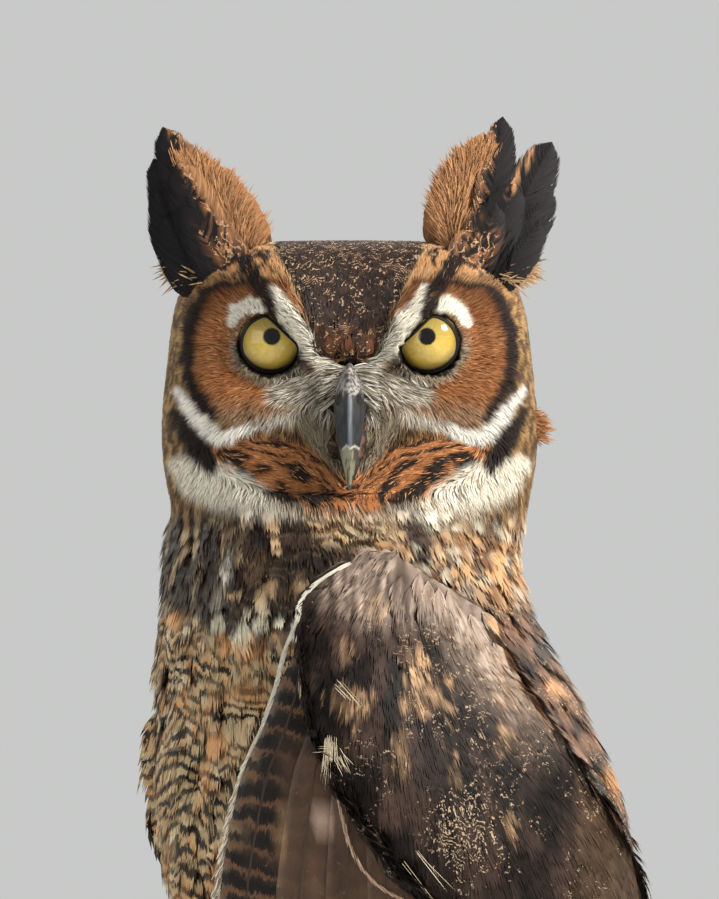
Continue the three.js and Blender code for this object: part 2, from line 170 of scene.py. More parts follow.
def lattice(cell, seed):
    mixed = cell[..., 0] * 73856093 ^ cell[..., 1] * 19349663 ^ cell[..., 2] * 83492791 ^ (seed + 7) * 2654435
    mixed = (mixed ^ (mixed >> 13)) * 1274126177
    return ((mixed ^ (mixed >> 16)) & 0xFFFF) / 65535.0


def noise(places, size, seed=0):
    scaled = places / np.asarray(size, float)
    base = np.floor(scaled).astype(np.int64)
    part = scaled - base
    part = part * part * (3 - 2 * part)
    total = np.zeros(len(places))
    for corner in product((0, 1), repeat=3):
        weight = np.prod(np.where(np.array(corner) == 1, part, 1 - part), axis=1)
        total += weight * lattice(base + np.array(corner), seed)
    return total


def vectors(*columns):
    """Rows made of columns, each an array or one number."""
    return np.stack(np.broadcast_arrays(*columns), -1).astype(float)


def unit(rows):
    return rows / np.maximum(np.linalg.norm(rows, axis=-1, keepdims=True), 1e-9)


# %% Colours
def tone(code):
    """Linear colour of a six-figure screen colour."""
    screen = np.array([int(code[i : i + 2], 16) for i in (0, 2, 4)]) / 255
    return np.where(screen <= 0.04045, screen / 12.92, ((screen + 0.055) / 1.055) ** 2.4)


def blend(a, b, share):
    share = np.asarray(share)[..., None]
    return a * (1 - share) + b * share


def paint(color, *layers):
    """Lays one (colour, share) after another over a colour."""
    for layer, share in layers:
        color = blend(color, layer, share)
    return color


# %% Meshes from arrays
def mesh_object(name, corners, triangles, color=None, map_places=None, **attributes):
    """corners are in millimetres; color (n, 3) becomes Tint; map_places is for each corner (n, 2), or for
    each corner of each triangle (m, 3, 2)."""
    mesh = bpy.data.meshes.new(name)
    mesh.vertices.add(len(corners))
    mesh.vertices.foreach_set("co", (corners * MM).astype(np.float32).ravel())
    mesh.loops.add(triangles.size)
    mesh.loops.foreach_set("vertex_index", triangles.astype(np.int32).ravel())
    mesh.polygons.add(len(triangles))
    mesh.polygons.foreach_set("loop_start", np.arange(0, triangles.size, 3, dtype=np.int32))
    mesh.polygons.foreach_set("use_smooth", np.ones(len(triangles), bool))
    mesh.update(calc_edges=True)
    if color is not None:
        opaque = np.concatenate([np.clip(color, 0, 1), np.ones((len(color), 1))], 1)
        tint = mesh.attributes.new("Tint", "FLOAT_COLOR", "POINT")
        tint.data.foreach_set("color", opaque.astype(np.float32).ravel())
    for key, value in attributes.items():
        attribute = mesh.attributes.new(key, "FLOAT_VECTOR", "POINT")
        attribute.data.foreach_set("vector", value.astype(np.float32).ravel())
    if map_places is not None:
        places = map_places[triangles] if map_places.ndim == 2 else map_places
        layer = mesh.uv_layers.new(name="OFBake")
        layer.uv.foreach_set("vector", places.astype(np.float32).ravel())
    return linked(name, mesh)


def joined(parts):
    """One set of arrays from several; the second of each is its triangles."""
    counts = np.cumsum([0] + [len(part[0]) for part in parts])
    triangles = np.concatenate([part[1] + start for part, start in zip(parts, counts)])
    rest = [np.concatenate([part[i] for part in parts]) for i in range(len(parts[0])) if i != 1]
    return (rest[0], triangles, *rest[1:])


def corners_of(obj):
    places = np.zeros(len(obj.data.vertices) * 3, np.float32)
    obj.data.vertices.foreach_get("co", places)
    return places.reshape(-1, 3).astype(float) / MM


def triangles_of(obj):
    obj.data.calc_loop_triangles()
    corners = np.zeros(len(obj.data.loop_triangles) * 3, np.int32)
    obj.data.loop_triangles.foreach_get("vertices", corners)
    return corners.reshape(-1, 3)


def corner_normals(places, triangles):
    a, b, c = (places[triangles[:, i]] for i in range(3))
    flat = np.cross(b - a, c - a)
    total = np.zeros_like(places)
    for i in range(3):
        np.add.at(total, triangles[:, i], flat)
    return unit(total)


def edges_of(triangles):
    return np.concatenate([triangles[:, [0, 1]], triangles[:, [1, 2]], triangles[:, [2, 0]]])


def neighbour_sums(edges, values):
    total = np.zeros_like(values)
    np.add.at(total, edges[:, 0], values[edges[:, 1]])
    np.add.at(total, edges[:, 1], values[edges[:, 0]])
    return total


# %% [markdown]
# ## One skin
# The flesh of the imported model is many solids. A voxel remesh of them all together makes one closed
# surface with no seams. It is smoothed to lose the facets and then drawn inwards by the depth of the coat,
# which is deep on the body and thin on the face and feet. The lids wrap the eyeballs, so these belong to
# the surface as well.

# %% Which solids are flesh
TOE_NAMES = ("inner", "middle", "outer", "hind")
FLESH = ["head", "neck", "trunk"]
for side_name in SIDES:
    FLESH += [f"wing_{side_name}_arm", f"thigh_{side_name}", f"shank_{side_name}", f"foot_{side_name}"]
    FLESH += [f"toe_{side_name}_{toe}" for toe in TOE_NAMES]
COAT_DEPTH = {"head": 3.0, "neck": 5.0, "trunk": 5.5, "arm_left": 2.2, "arm_right": 2.2, "thigh": 5.0,
              "shank": 3.0, "foot": 2.0, "toe": 1.3}
HEAD, NECK, TRUNK, ARM_LEFT, ARM_RIGHT, THIGH, SHANK, FOOT, TOE = range(len(COAT_DEPTH))


def flesh_part(node):
    kind = node.split("_")[0]
    if kind == "wing":
        region = ARM_LEFT if "left" in node else ARM_RIGHT
    else:
        region = HEAD if kind == "eye" else list(COAT_DEPTH).index(kind)
    faces = triangles_of(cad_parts[node])
    return corners_of(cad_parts[node]), faces, np.full(len(faces), region)


flesh_parts = [flesh_part(node) for node in FLESH + ["eye_left", "eye_right"]]
flesh_corners, flesh_triangles, flesh_region = joined(flesh_parts)
print("flesh:", len(flesh_triangles), "triangles")

# %% Remesh, smooth
VOXEL = 2.4
rough = mesh_object("skin_rough", flesh_corners, flesh_triangles)
remesh = rough.modifiers.new("fuse", "REMESH")
remesh.mode = "VOXEL"
remesh.voxel_size = VOXEL * MM
fused = bpy.data.meshes.new_from_object(rough.evaluated_get(bpy.context.evaluated_depsgraph_get()))
rough.modifiers.clear()
bpy.data.objects.remove(rough)
fused_object = bpy.data.objects.new("skin_fused", fused)
skin_places = corners_of(fused_object)
skin_faces = triangles_of(fused_object)
bpy.data.objects.remove(fused_object)


def relaxed(places, faces, rounds):
    edges = np.unique(np.sort(edges_of(faces), axis=1), axis=0)
    count = np.bincount(edges.ravel(), minlength=len(places))[:, None]
    for step in range(rounds):
        push = 0.5 if step % 2 == 0 else -0.52
        places = places + push * (neighbour_sums(edges, places) / count - places)
    return places


skin_places = relaxed(skin_places, skin_faces, 12)
print("skin:", len(skin_faces), "triangles")

# %% The depth of the coat
flesh_tree = BVHTree.FromPolygons(flesh_corners.tolist(), flesh_triangles.tolist())


def nearest_on(tree, places):
    """The nearest spot of a surface and the face it is on, for each place."""
    found = [tree.find_nearest(place) for place in places.tolist()]
    return np.array([hit[0][:] for hit in found]), np.array([hit[2] for hit in found])


def spread(values, faces, rounds):
    edges = edges_of(faces)
    count = np.maximum(np.bincount(edges.ravel(), minlength=len(values)), 1)
    for _ in range(rounds):
        values = neighbour_sums(edges, values) / count
    return values


skin_region = flesh_region[nearest_on(flesh_tree, skin_places)[1]]
local = in_head(skin_places)
eye_off = np.hypot(np.abs(local[:, 0]) - EYE_APART, local[:, 2] - EYE_ABOVE_LINE)
by_eye = (1 - soft(13, 19, eye_off)) * (local[:, 1] < -15)
depth = spread(np.array(list(COAT_DEPTH.values()))[skin_region], skin_faces, 8)
depth = depth * (1 - by_eye) - 1.0 * by_eye
skin_places = skin_places - corner_normals(skin_places, skin_faces) * depth[:, None]
# the wrist of the left wing comes forward over the chest
local = in_head(skin_places)
from_edge = local[:, 0] - np.interp(local[:, 2], [-104, -92, -80], [-23, -10, 3])
bulge = np.exp(-(((local[:, 2] + 90) / 9) ** 2)) * (1 - soft(2, 16, from_edge)) * (local[:, 1] < 15)
bulge = spread(bulge * (skin_region == ARM_LEFT), skin_faces, 2)
skin_places = from_head(local + bulge[:, None] * [-7.0, -2.0, 1.5])
skin_places = relaxed(skin_places, skin_faces, 4)
print("depth of the coat:", depth.min(), "to", depth.max(), "mm")

# %% Sockets for the eyes
EYE_RADIUS = 14.0
OPENING = 10.8
BROW_CUT = (6.9, 2.327)  # how far the brow's line is from the opening's middle, and its direction, radians


def opening_radius(turn):
    """turn is measured outwards from the bird's own outer corner, anticlockwise to the top."""
    reach = np.cos(turn - BROW_CUT[1])
    cut = BROW_CUT[0] / np.maximum(reach, 0.3)
    return -np.log(np.exp(-OPENING * 1.6) + np.exp(-cut * 1.6)) / 1.6


def off_opening(out, up):
    """How far outside the opening of the lids a place of the face is."""
    x, z = out - EYE_APART, up
    return np.hypot(x, z) - opening_radius(np.arctan2(z, x))


local = in_head(skin_places)
push = (1 - soft(-0.2, 1.6, off_opening(np.abs(local[:, 0]), local[:, 2]))) * (local[:, 1] < -20)
local[:, 1] += push * 14
skin_places = from_head(local)
skin_normals = corner_normals(skin_places, skin_faces)
skin_tree = BVHTree.FromPolygons(skin_places.tolist(), skin_faces.tolist())
bpy.data.meshes.remove(fused)
print("skin with sockets:", len(skin_faces), "triangles")

# %% [markdown]
# ## The map of the skin
# Each piece of the coat keeps a small patch of colour for each of its tufts, at the place of the tuft's
# root on an unwrap of the skin. The unwrap is that of a globe: the turn round the bird's middle across, and
# the height upwards. The legs get two islands of their own below it.

# %% Unwrap
LEG_TOP = 62
LEG_X = 40
BODY_BAND = 0.25  # the part of the map below the body's, which the legs share


def turned_about(places, x, y):
    """The turn round an upright axis, from 0 to 1."""
    return np.arctan2(places[:, 0] - x, -(places[:, 1] - y)) / (2 * np.pi) + 0.5


def unwrap(places):
    """Map places of points of the skin, before any correction where the turn jumps."""
    height = BODY_BAND + (1 - BODY_BAND) * (places[:, 2] - 55) / (HEAD_MIDDLE[2] + 95 - 55)
    sign = np.where(places[:, 0] > 0, 1, -1)
    leg_turn = turned_about(places, sign * LEG_X, middle_of("foot_left")[1])
    leg_u = np.where(sign > 0, 0.02, 0.52) + 0.46 * leg_turn
    leg_v = 0.01 + (BODY_BAND - 0.03) * np.clip(places[:, 2], 0, LEG_TOP) / LEG_TOP
    low = places[:, 2] < LEG_TOP
    return vectors(np.where(low, leg_u, turned_about(places, 0.0, SHIFT)), np.where(low, leg_v, height))

# %% [markdown]
# ## Markings
# The skin and everything that grows on it carry one set of markings, so they are functions of place: give
# them points and they answer with colours. Each mark of the face is a ribbon, a bent line whose width
# changes along it, drawn once for both sides. The body's colours come from height, side and noise.

# %% Colours of the plumage
WHITE = tone("e9e2d6")
CREAM = tone("dcd5bd")
RUFOUS = tone("a8673b")
RUFOUS_DARK = tone("6f4226")
ORANGE_BUFF = tone("cf9763")
BUFF = tone("c3a27c")
TAN = tone("9c7b59")
BROWN = tone("5e4736")
DARK_BROWN = tone("3a2b23")
BLACK = tone("1f1a1a")
GREY = tone("a19a88")
TAUPE = tone("7e6c54")
STRAW = tone("d6c39d")
LID = tone("17120f")


def dark(share):
    return blend(BLACK, DARK_BROWN, share)


# %% The marks of the face: (out from the middle, up from the eye line, half width)
RIM = [(38, 23.8, 0.9), (49.6, 22.8, 1.4), (55.5, 19.8, 2.4), (59, 13, 2.8), (61.2, 5, 2.8), (61.8, -4, 2.7),
       (61, -13, 2.6), (57.3, -20.3, 2.4), (51.5, -28.5, 1.5)]
CRESCENT = [(66, -17.5, 1.8), (62, -23, 2.3), (57, -29, 2.6), (53, -33.5, 2.9), (48.5, -35.8, 2.9),
            (43, -34, 2.5), (38, -32.3, 2.1)]
INNER_CRESCENT = [(37, -32, 1.6), (30, -30, 2.3), (24, -28.8, 2.5), (18, -27.8, 1.5)]
LOW_BLACK = [(67, -25, 1.6), (62, -33, 4.0), (57, -40, 4.6), (53, -46, 3.0)]
BIB = [(65, -46, 4.0), (58, -51, 8.0), (48, -54.5, 9.0), (38, -59, 7.5), (28, -64, 4.2), (14, -67, 2.4),
       (0, -66, 2.6)]
BROW = [(29, 21, 1.8), (26, 16, 3.2), (22.4, 10.3, 4.0), (17.9, 2.7, 3.8), (13.2, -3.8, 3.3),
        (8.6, -9, 2.8), (5.2, -12.8, 1.8)]
EYE_WHITE = [(44.8, 8, 1.5), (42.8, 12.8, 2.7), (38, 15.2, 3.6), (33.6, 13.9, 2.6)]
HIGH_BLACK = [(41, 33, 3.4), (35.4, 25, 3.2), (31.6, 18.5, 3.0), (29.4, 13, 2.0), (28, 10, 1.0)]
EAR_BASE_BLACK = [(64, 37, 3.4), (54, 35, 3.8), (44, 36, 3.6)]
BRISTLE = [(5, -13, 4.0), (12, -16, 6.5), (20, -18, 7.5), (27, -18.5, 5.0)]
LOW_BRISTLE = [(5, -18, 5.0), (9, -25, 5.5)]
LORE = [(14, -30, 6.0), (9, -38, 4.8), (4.5, -46, 2.6)]
RUFF = [(50, -43, 6.0), (36, -44, 9.5), (24, -48, 11.5), (10, -54, 10.5), (0, -58, 7.0)]
CROWN_EDGE = ([-6.1, -4.6, 1.1, 15.6, 30.8, 44], [0, 10.5, 13, 17, 25, 33])  # heights, half widths
DISC = {"x": 33, "z": -3.5, "wide": 27.6, "high": 28.5, "power": 2.6}


EYE_CORNER = [(21, -5, 1.0), (17, -8, 1.7), (13, -11, 0.8)]
RUFF_LINE = ([0, 2.3, 11.2, 20.2, 30, 38, 52], [-55, -52.7, -42.8, -36.5, -34, -33, -34])  # out, up


# %% Shapes of marks
def off_ribbon(out, up, ribbon):
    """How far outside a ribbon each place is; less than nothing inside."""
    best = np.full(len(out), 1e3)
    for (ax, az, ah), (bx, bz, bh) in zip(ribbon, ribbon[1:]):
        share = ((out - ax) * (bx - ax) + (up - az) * (bz - az)) / ((bx - ax) ** 2 + (bz - az) ** 2)
        share = np.clip(share, 0, 1)
        away = np.hypot(out - ax - share * (bx - ax), up - az - share * (bz - az))
        best = np.minimum(best, away - ah - share * (bh - ah))
    return best


def inside(out, up, ribbon, blur=0.5):
    return 1 - soft(-blur, blur, off_ribbon(out, up, ribbon))


def below_lore(out, up):
    """How far below the border of the lores a place of the ruff is, and how steeply that border falls."""
    step = 1.5
    fall = (np.interp(out + step, *RUFF_LINE) - np.interp(out - step, *RUFF_LINE)) / (2 * step)
    return np.interp(out, *RUFF_LINE) - up, fall


def disc_share(out, up):
    """0 in the middle of the dish round an eye and 1 on its border."""
    across = np.abs(out - DISC["x"]) / DISC["wide"]
    along = np.abs(up - DISC["z"]) / DISC["high"]
    return (across ** DISC["power"] + along ** DISC["power"]) ** (1 / DISC["power"])


def off_spot(x, z, spot):
    """How far out in an oval (x, z, half width, half height) each place is; 1 on its edge."""
    return np.hypot((x - spot[0]) / spot[2], (z - spot[1]) / spot[3])


# %% Face markings
def face_colors(local, strand):
    """Colour of the front of the head. strand is a random number from 0 to 1 for each place's own tuft."""
    wobble = vectors(*(noise(local, 3, seed) for seed in (1, 2, 3))) - 0.5
    place = local + wobble * 2.0
    x, z = place[:, 0], place[:, 2]
    out = np.abs(x)
    mottle = noise(place * [1, 0.6, 0.7], 1.5, 4)
    ring = disc_share(out, z)
    eye_off = off_opening(out, z)
    in_dish = 1 - soft(0.96, 1.03, ring)
    rufous = blend(RUFOUS_DARK, RUFOUS * [0.88, 0.87, 0.76], np.clip(0.25 + 0.9 * strand, 0, 1))
    rufous = blend(rufous, BUFF, 0.2 * (strand > 0.82) + 0.12 * noise(place, 6, 5))
    lid_ring = (1 - soft(3.4, 6.5, eye_off)) * np.maximum(1 - soft(-2, 6, z), 0.45)
    color = paint(
        blend(DARK_BROWN, tone("a68658"), soft(0.36, 0.62, mottle)),
        (DARK_BROWN, soft(0.56, 0.66, noise(place * [1, 0.7, 0.7], 2.8, 7)) * 0.8),
        (ORANGE_BUFF * 0.8, (0.15 + 0.35 * soft(8, 26, z)) * (strand > 0.3)),
        (rufous, in_dish),
        # painted shade: the upper outer part of the dish is painted darker, under its rim
        (RUFOUS_DARK * 0.6, soft(0.68, 1.0, ring) * soft(0, 16, z) * (1 - soft(0.98, 1.03, ring)) * 0.8),
        (blend(TAUPE, CREAM, strand * 0.4), (1 - soft(-30, -18, z)) * in_dish * 0.55),
        (blend(TAUPE, GREY, strand * 0.8), lid_ring * 0.9),
        (dark(strand * 0.6), inside(out, z, RIM, 0.7)),
    )
    # the ruff below the dish: rows of small feathers that run towards the chin, dark with rufous edges
    below = below_lore(out, z)[0]
    rows = (below / 3.6 + 1.5 * noise(vectors(x / 9, below / 6, 0), 1.0, 6)) % 1
    rows = 0.3 + 0.36 * soft(0, 0.15, rows) * (1 - soft(0.38, 0.5, rows)) + 0.1 * noise(place, 1.2, 20)
    blots = noise(vectors(x / 4.2, below / 3.2, 0), 1.0, 10)
    rows = rows * (1 - soft(6, 12, below)) + blots * soft(6, 12, below) + 0.14 * (strand - 0.5)
    ruff_color = paint(blend(RUFOUS, ORANGE_BUFF, strand * 0.5), (dark(strand * 0.5), soft(0.43, 0.49, rows)),
                       (ORANGE_BUFF, (strand > 0.93) * 0.8))
    # the white and grey marks, and the bristles that fan out from the bill
    # painted shade: the white is painted darker on the bird's left, where the key light falls
    white = blend(tone("fbf6ec"), BROWN, (strand < 0.07) * 0.7) * (1 - 0.15 * (x > 0))[:, None]
    fan = paint(blend(blend(TAUPE, GREY, 0.55), WHITE, soft(0.45, 1.0, strand) * 0.8),
                (DARK_BROWN, (strand < 0.16) * 0.7), (WHITE, (1 - soft(7, 12, out)) * (strand > 0.3) * 0.45))
    bristle = np.maximum(inside(out, z, BRISTLE, 1.6), inside(out, z, LOW_BRISTLE, 1.4))
    inner = (1 - soft(3.0, 6.5, eye_off)) * (1 - soft(19, 26, out)) * (1 - soft(0, 4, z))
    color = paint(
        color,
        (ruff_color, inside(out, z, RUFF, 1.4)),
        (blend(blend(CREAM, WHITE, strand), TAN, (strand < 0.14) * 0.6), inside(out, z, BIB, 2.2)),
        (dark(strand * 0.5), inside(out, z, LOW_BLACK, 0.9)),
        (white, inside(out, z, CRESCENT, 0.6)),
        (blend(GREY, WHITE, strand), inside(out, z, INNER_CRESCENT, 0.9) * 0.85),
        (blend(TAUPE, GREY, strand * 0.6), inside(out, z, LORE, 1.6)),
        (fan, bristle),
        (blend(DARK_BROWN, GREY, (strand > 0.6) * 0.8), inner * 0.9),
        (DARK_BROWN * 0.7, inside(out, z, EYE_CORNER, 1.2) * 0.8),
        (LID * 1.3, 1 - soft(1.3, 2.6, eye_off + 0.8 * (strand - 0.5))),
        (blend(WHITE, CREAM, strand * 0.5), inside(out, z, EYE_WHITE, 0.6)),
    )
    # above the eyes: the mottled bases of the ear tufts, the crown, its border, and the brows
    off_edge = out - np.interp(z, *CROWN_EDGE)
    above = soft(-6.8, -5.4, z)
    patch = noise(place * [1, 0.8, 0.8], 3.2, 8)
    base_color = paint(blend(ORANGE_BUFF, TAN, strand * 0.5), (dark(strand), soft(0.54, 0.62, patch)),
                       (BUFF, soft(0.66, 0.74, noise(place, 1.6, 9)) * 0.9))
    high_border = blend(ORANGE_BUFF, BUFF, strand)
    border_color = blend(blend(DARK_BROWN, TAN, strand * 0.6), high_border, soft(12, 24, z))
    brow_color = blend(blend(WHITE, CREAM, strand * 0.7), BROWN, (strand < 0.1) * 0.8)
    black = np.maximum(inside(out, z, HIGH_BLACK, 1.0), inside(out, z, EAR_BASE_BLACK, 1.5) * (patch > 0.35))
    crown = (1 - soft(-0.9, 0.9, off_edge + 1.6 * (strand - 0.5))) * above
    warm = 1 - soft(-7, 10, z)
    crown_color = blend(dark(0.2 + 0.6 * strand), RUFOUS_DARK, warm * (0.2 + 0.6 * (strand > 0.5)))
    color = paint(
        color,
        (base_color, soft(24, 29, z) * soft(0.98, 1.06, ring) * soft(0, 3, off_edge)),
        (border_color, (1 - soft(1.0, 3.2, off_edge + 2 * (strand - 0.5))) * above * 0.85),
        (brow_color, inside(out + 1.2 * (strand - 0.5), z, BROW, 0.8)),
        (dark(strand * 0.4), black * (strand > 0.06)),
        (crown_color, crown),
        (BLACK, (1 - soft(0.9, 1.8, out)) * soft(-11, -9.5, z) * (1 - soft(-5.5, -4, z))),
    )
    return color, crown


# %% [markdown]
# ## Neck, body and wings
# The breast is pale with dark bars, the back dark with fine flecks, and they meet along the flank. The upper
# chest is a dark cloud with pale spots, because that is where the dark feathers under the bib show. Legs and
# feet are plain. The folded wing is its own design: near black and silky, with a painted sheen that makes it
# paler at the shoulder and along the rim towards the back, and a few buff patches, each an oval with ragged
# edges.

# %% Markings behind the face, on the neck and on the body
BREAST_PATCHES = [(-41, -109, 10, 7), (-50, -148, 6, 5), (-65, -103, 5, 4), (-42, -128, 3, 3),
                  (-47, -190, 4, 5)]
CHEST_STREAK = [(-44, -77, 1.2), (-47, -88, 2.4), (-51, -101, 0.8)]


def coat_colors(places, strand):
    """Colour of the coat, and how strong its dark bars and its pale flecks are, at each place."""
    local = in_head(places)
    x, y, z = local.T
    height = places[:, 2]
    turn = np.degrees(np.arctan2(places[:, 0], -(places[:, 1] - SHIFT)))
    broad, fine, small = noise(places, 17, 11), noise(places, 7, 12), noise(places, 3.4, 16)
    # the breast and the back
    front = 1 - soft(62, 92, np.abs(turn))
    warm = 0
    for patch in BREAST_PATCHES:
        near = off_spot(x, z, patch) + 0.7 * (small - 0.5)
        warm = np.maximum(warm, (1 - soft(0.75, 1.1, near)) * (y < 20))
    pale = blend(tone("ad8660"), ORANGE_BUFF * 0.85, soft(0.44, 0.58, broad))
    pale = blend(pale, blend(STRAW, CREAM, strand) * 0.82, soft(0.42, 0.6, small) * 0.85) * [0.88, 0.83, 0.74]
    back = blend(BLACK, tone("745440"), soft(0.2, 0.7, fine)) * 0.9
    back = blend(back, ORANGE_BUFF, soft(0.7, 0.82, broad) * 0.5)
    bars = front * (1 - 0.85 * warm) * (0.62 + 0.38 * soft(0.34, 0.56, noise(places, 8, 37)))
    flecks = (1 - front) * (0.5 + 0.5 * soft(0.3, 0.7, broad))
    # the upper chest
    cloud = np.hypot((x + 38) / 50, (z + 86 + 0.12 * (x + 38)) / 24) + 0.35 * (fine - 0.5)
    chest = (1 - soft(0.85, 1.1, cloud)) * (1 - soft(0, 20, y))
    spots = soft(0.68, 0.75, noise(places, [4.2, 4.2, 5.5], 13)) * 0.95
    streak = inside(x, z, CHEST_STREAK, 1.6) * (y < 0)
    chest_color = paint(dark(0.3 + 0.7 * soft(0.3, 0.7, small)), (TAN, soft(0.5, 0.8, fine) * 0.3),
                        (blend(BUFF, CREAM, soft(-92, -104, z)), spots))
    chest_color = chest_color * (1.05 - 0.35 * soft(-44, -56, x))[:, None]
    # the sides of the neck are warm and mottled, the nape behind is darker
    neck = soft(296, 316, height) * (1 - soft(365, 380, height)) * (1 - chest)
    side = neck * np.maximum(soft(6, 20, x), np.maximum(soft(52, 60, -x), soft(-8, 12, y)))
    dark_marks = soft(0.58, 0.68, noise(places, [2.6, 2.6, 5], 36)) * 0.85
    neck_color = paint(
        blend(DARK_BROWN, BUFF, soft(0.36, 0.5, noise(places, [5, 5, 9], 14))),
        (ORANGE_BUFF, soft(0.4, 0.7, broad) * 0.6),
        (CREAM, soft(0.5, 0.7, small) * soft(10, 30, x) * 0.7 * (1 - soft(0, 16, y))),
        (blend(RUFOUS_DARK, DARK_BROWN, strand), dark_marks),
    )
    neck_color = neck_color * (0.78 - 0.14 * soft(0, -30, x))[:, None]
    nape = blend(DARK_BROWN, TAN * 0.75, soft(0.3, 0.7, noise(places * [1, 1, 0.7], 2.6, 15)))
    nape = blend(nape, ORANGE_BUFF, soft(0.55, 0.8, noise(places, 9, 17)) * 0.3)
    # the head has its face in front, the dark crown above and the nape behind
    leg = 1 - soft(70, 112, height)
    head = soft(333, 340, height)
    behind = soft(-16, -2, y)
    face, crown = face_colors(local, strand)
    crown = crown * (1 - soft(-6, 10, y))
    color = paint(
        back,
        (blend(pale, ORANGE_BUFF * 0.95, warm), front),
        (blend(chest_color, blend(TAUPE, WHITE, strand), streak * 0.8), chest),
        (blend(neck_color, nape, soft(4, 22, y) * 0.85), side),
        (blend(BUFF, ORANGE_BUFF, strand * 0.7), leg),
        (blend(face, blend(nape, dark(strand), soft(10, 34, z) * 0.85), behind * (1 - crown)), head),
    )
    bars = bars * (1 - chest * 0.9) * (1 - side * 0.85) * (1 - leg * 0.9) * (1 - head)
    head_flecks = np.maximum(crown * (0.75 + 0.25 * soft(14, 30, z)), behind * (0.85 + 0.15 * soft(8, 30, z)))
    flecks = flecks * (1 - side * 0.5 * (1 - soft(4, 22, y))) * (1 - leg) * (1 - head) + head_flecks * head
    return color, bars, flecks


# %% Markings of the wings
BUFF_PATCHES = [  # x, z, half width, half height, strength
    (26, -118, 5, 4.5, 1.0), (29, -130, 8, 7, 0.8), (-1, -114, 4, 4, 0.45), (0, -134, 6, 7, 0.55),
    (-21, -131, 3, 7, 0.9), (9, -98, 5, 5, 0.4), (58, -147, 3, 5.5, 0.6), (60, -181, 2, 4.5, 0.9),
    (39, -158, 2.5, 6, 0.5), (20, -152, 4, 7, 0.4), (58, -128, 4, 8, 0.4),
]
WING_BLACK, WING_BROWN, WING_MAUVE = tone("130c0a"), tone("2d201a"), tone("4c3a31")


REAR_PATCH = [(53, -104, 1.0), (61, -118, 2.2), (70, -134, 2.0), (76, -145, 0.8)]


def wing_colors(places, strand):
    """Colour and flecks of the small feathers of the wings."""
    x, y, z = in_head(places).T
    silk = soft(0.2, 0.85, 0.5 * noise(places, [1.6, 1.6, 14], 25) + 0.5 * noise(places, [0.8, 0.8, 6], 29))
    # painted sheen: the shoulder and the rim towards the back are painted paler, in place of the sheen of
    # light on the folded wing's feathers
    shoulder_sheen = (1 - soft(0.5, 1.15, off_spot(x, z, (15, -84, 30, 24)))) * (y < 20)
    back_rim_sheen = soft(-15, 8, (x - 38) + (z + 104) * 0.55) * soft(-165, -112, z) * (1 - soft(10, 40, y))
    ragged = 1.5 * (noise(places, [1.2, 1.2, 5], 24) - 0.5) + 1.2 * (noise(places, [4, 4, 3], 26) - 0.5)
    streaky = soft(0.35, 0.6, noise(places, [1.1, 1.1, 7], 28))
    buff = soft(0.74, 0.8, noise(places, [8, 8, 13], 23)) * soft(30, 45, y) * 0.8
    for *patch, strength in BUFF_PATCHES:
        buff = np.maximum(buff, (1 - soft(0.6, 1.15, off_spot(x, z, patch) + ragged)) * (y < 20) * strength)
    rear = inside(x, z, REAR_PATCH, 1.6) * (0.4 + 0.6 * streaky)
    color = paint(
        blend(WING_BLACK, WING_BROWN, soft(0.3, 0.8, noise(places, 6, 22))),
        (WING_MAUVE, soft(0.5, 0.75, noise(places, [4, 4, 12], 27)) * 0.8),
        (blend(tone("4a3b33"), tone("d3bba9"), silk), shoulder_sheen * 0.8),
        (blend(tone("806a58"), tone("d2bcac"), silk), back_rim_sheen * 0.85),
    )
    darker = soft(-108, -130, z) * (1 - back_rim_sheen) * (1 - soft(-160, -176, z) * (1 - soft(18, 28, x)))
    color = paint(
        color * (1 - 0.4 * darker)[:, None],
        (TAN, 0.13 * soft(78, 92, x) * soft(-158, -175, z)),
        (blend(TAN * 0.7, tone("e2b68c"), streaky) * 0.9, buff * 0.85),
        (blend(ORANGE_BUFF, TAN, strand), rear),
    )
    rows = 1 - soft(0.6, 1.2, off_spot(x, z, (41, -180, 13, 17)) + 0.5 * ragged)
    flecks = (0.1 + 0.85 * soft(0.35, 0.62, noise(places, 13, 21))) * (0.3 + 0.7 * soft(-17, -10, x))
    flecks = flecks * (1 - 0.5 * shoulder_sheen) * (1 - 0.2 * back_rim_sheen)
    flecks = flecks * (0.3 + 0.7 * soft(0.7, 1.2, off_spot(x, z, (-5, -125, 16, 24))))
    flecks = flecks * (1 - 0.2 * soft(-104, -124, z))
    return color, np.maximum(flecks * (1 - 0.7 * buff), 1.5 * rows)


# %% [markdown]
# ## Materials
# One node group paints every feather. It takes the tint that the markings gave to the tuft and adds what is
# too fine for them: the dark bars across a feather, pale flecks, and the streaks of its barbs. Each material
# places the group with its own colours and keeps its own shader.


# %% Node helpers
def fill(tree, node, inputs):
    """Give sockets of a node their numbers, colours or links."""
    for key, value in inputs.items():
        if isinstance(value, bpy.types.NodeSocket):
            tree.links.new(value, node.inputs[key])
        else:
            node.inputs[key].default_value = value


def add_node(tree, kind, inputs, output=0, **settings):
    """A new node with its inputs filled; the answer is one of its outputs."""
    node = tree.nodes.new("ShaderNode" + kind)
    for key, value in settings.items():
        setattr(node, key, value)
    fill(tree, node, inputs)
    return node.outputs[output]


def maths(operation, tree, *values, **settings):
    return add_node(tree, "Math", dict(enumerate(values)), operation=operation, **settings)


times, plus, minus = (partial(maths, operation) for operation in ("MULTIPLY", "ADD", "SUBTRACT"))


def mixed(tree, share, a, b):
    return add_node(tree, "Mix", {0: share, 6: a, 7: b}, 2, data_type="RGBA")


def stepped(tree, value, low, high):
    borders = {"Value": value, "From Min": low, "From Max": high}
    return add_node(tree, "MapRange", borders, "Result", interpolation_type="SMOOTHSTEP")


def band(tree, value, low, high, late, last):
    """1 between two soft borders of a value, 0 outside them."""
    return times(tree, stepped(tree, value, low, high), minus(tree, 1.0, stepped(tree, value, late, last)))


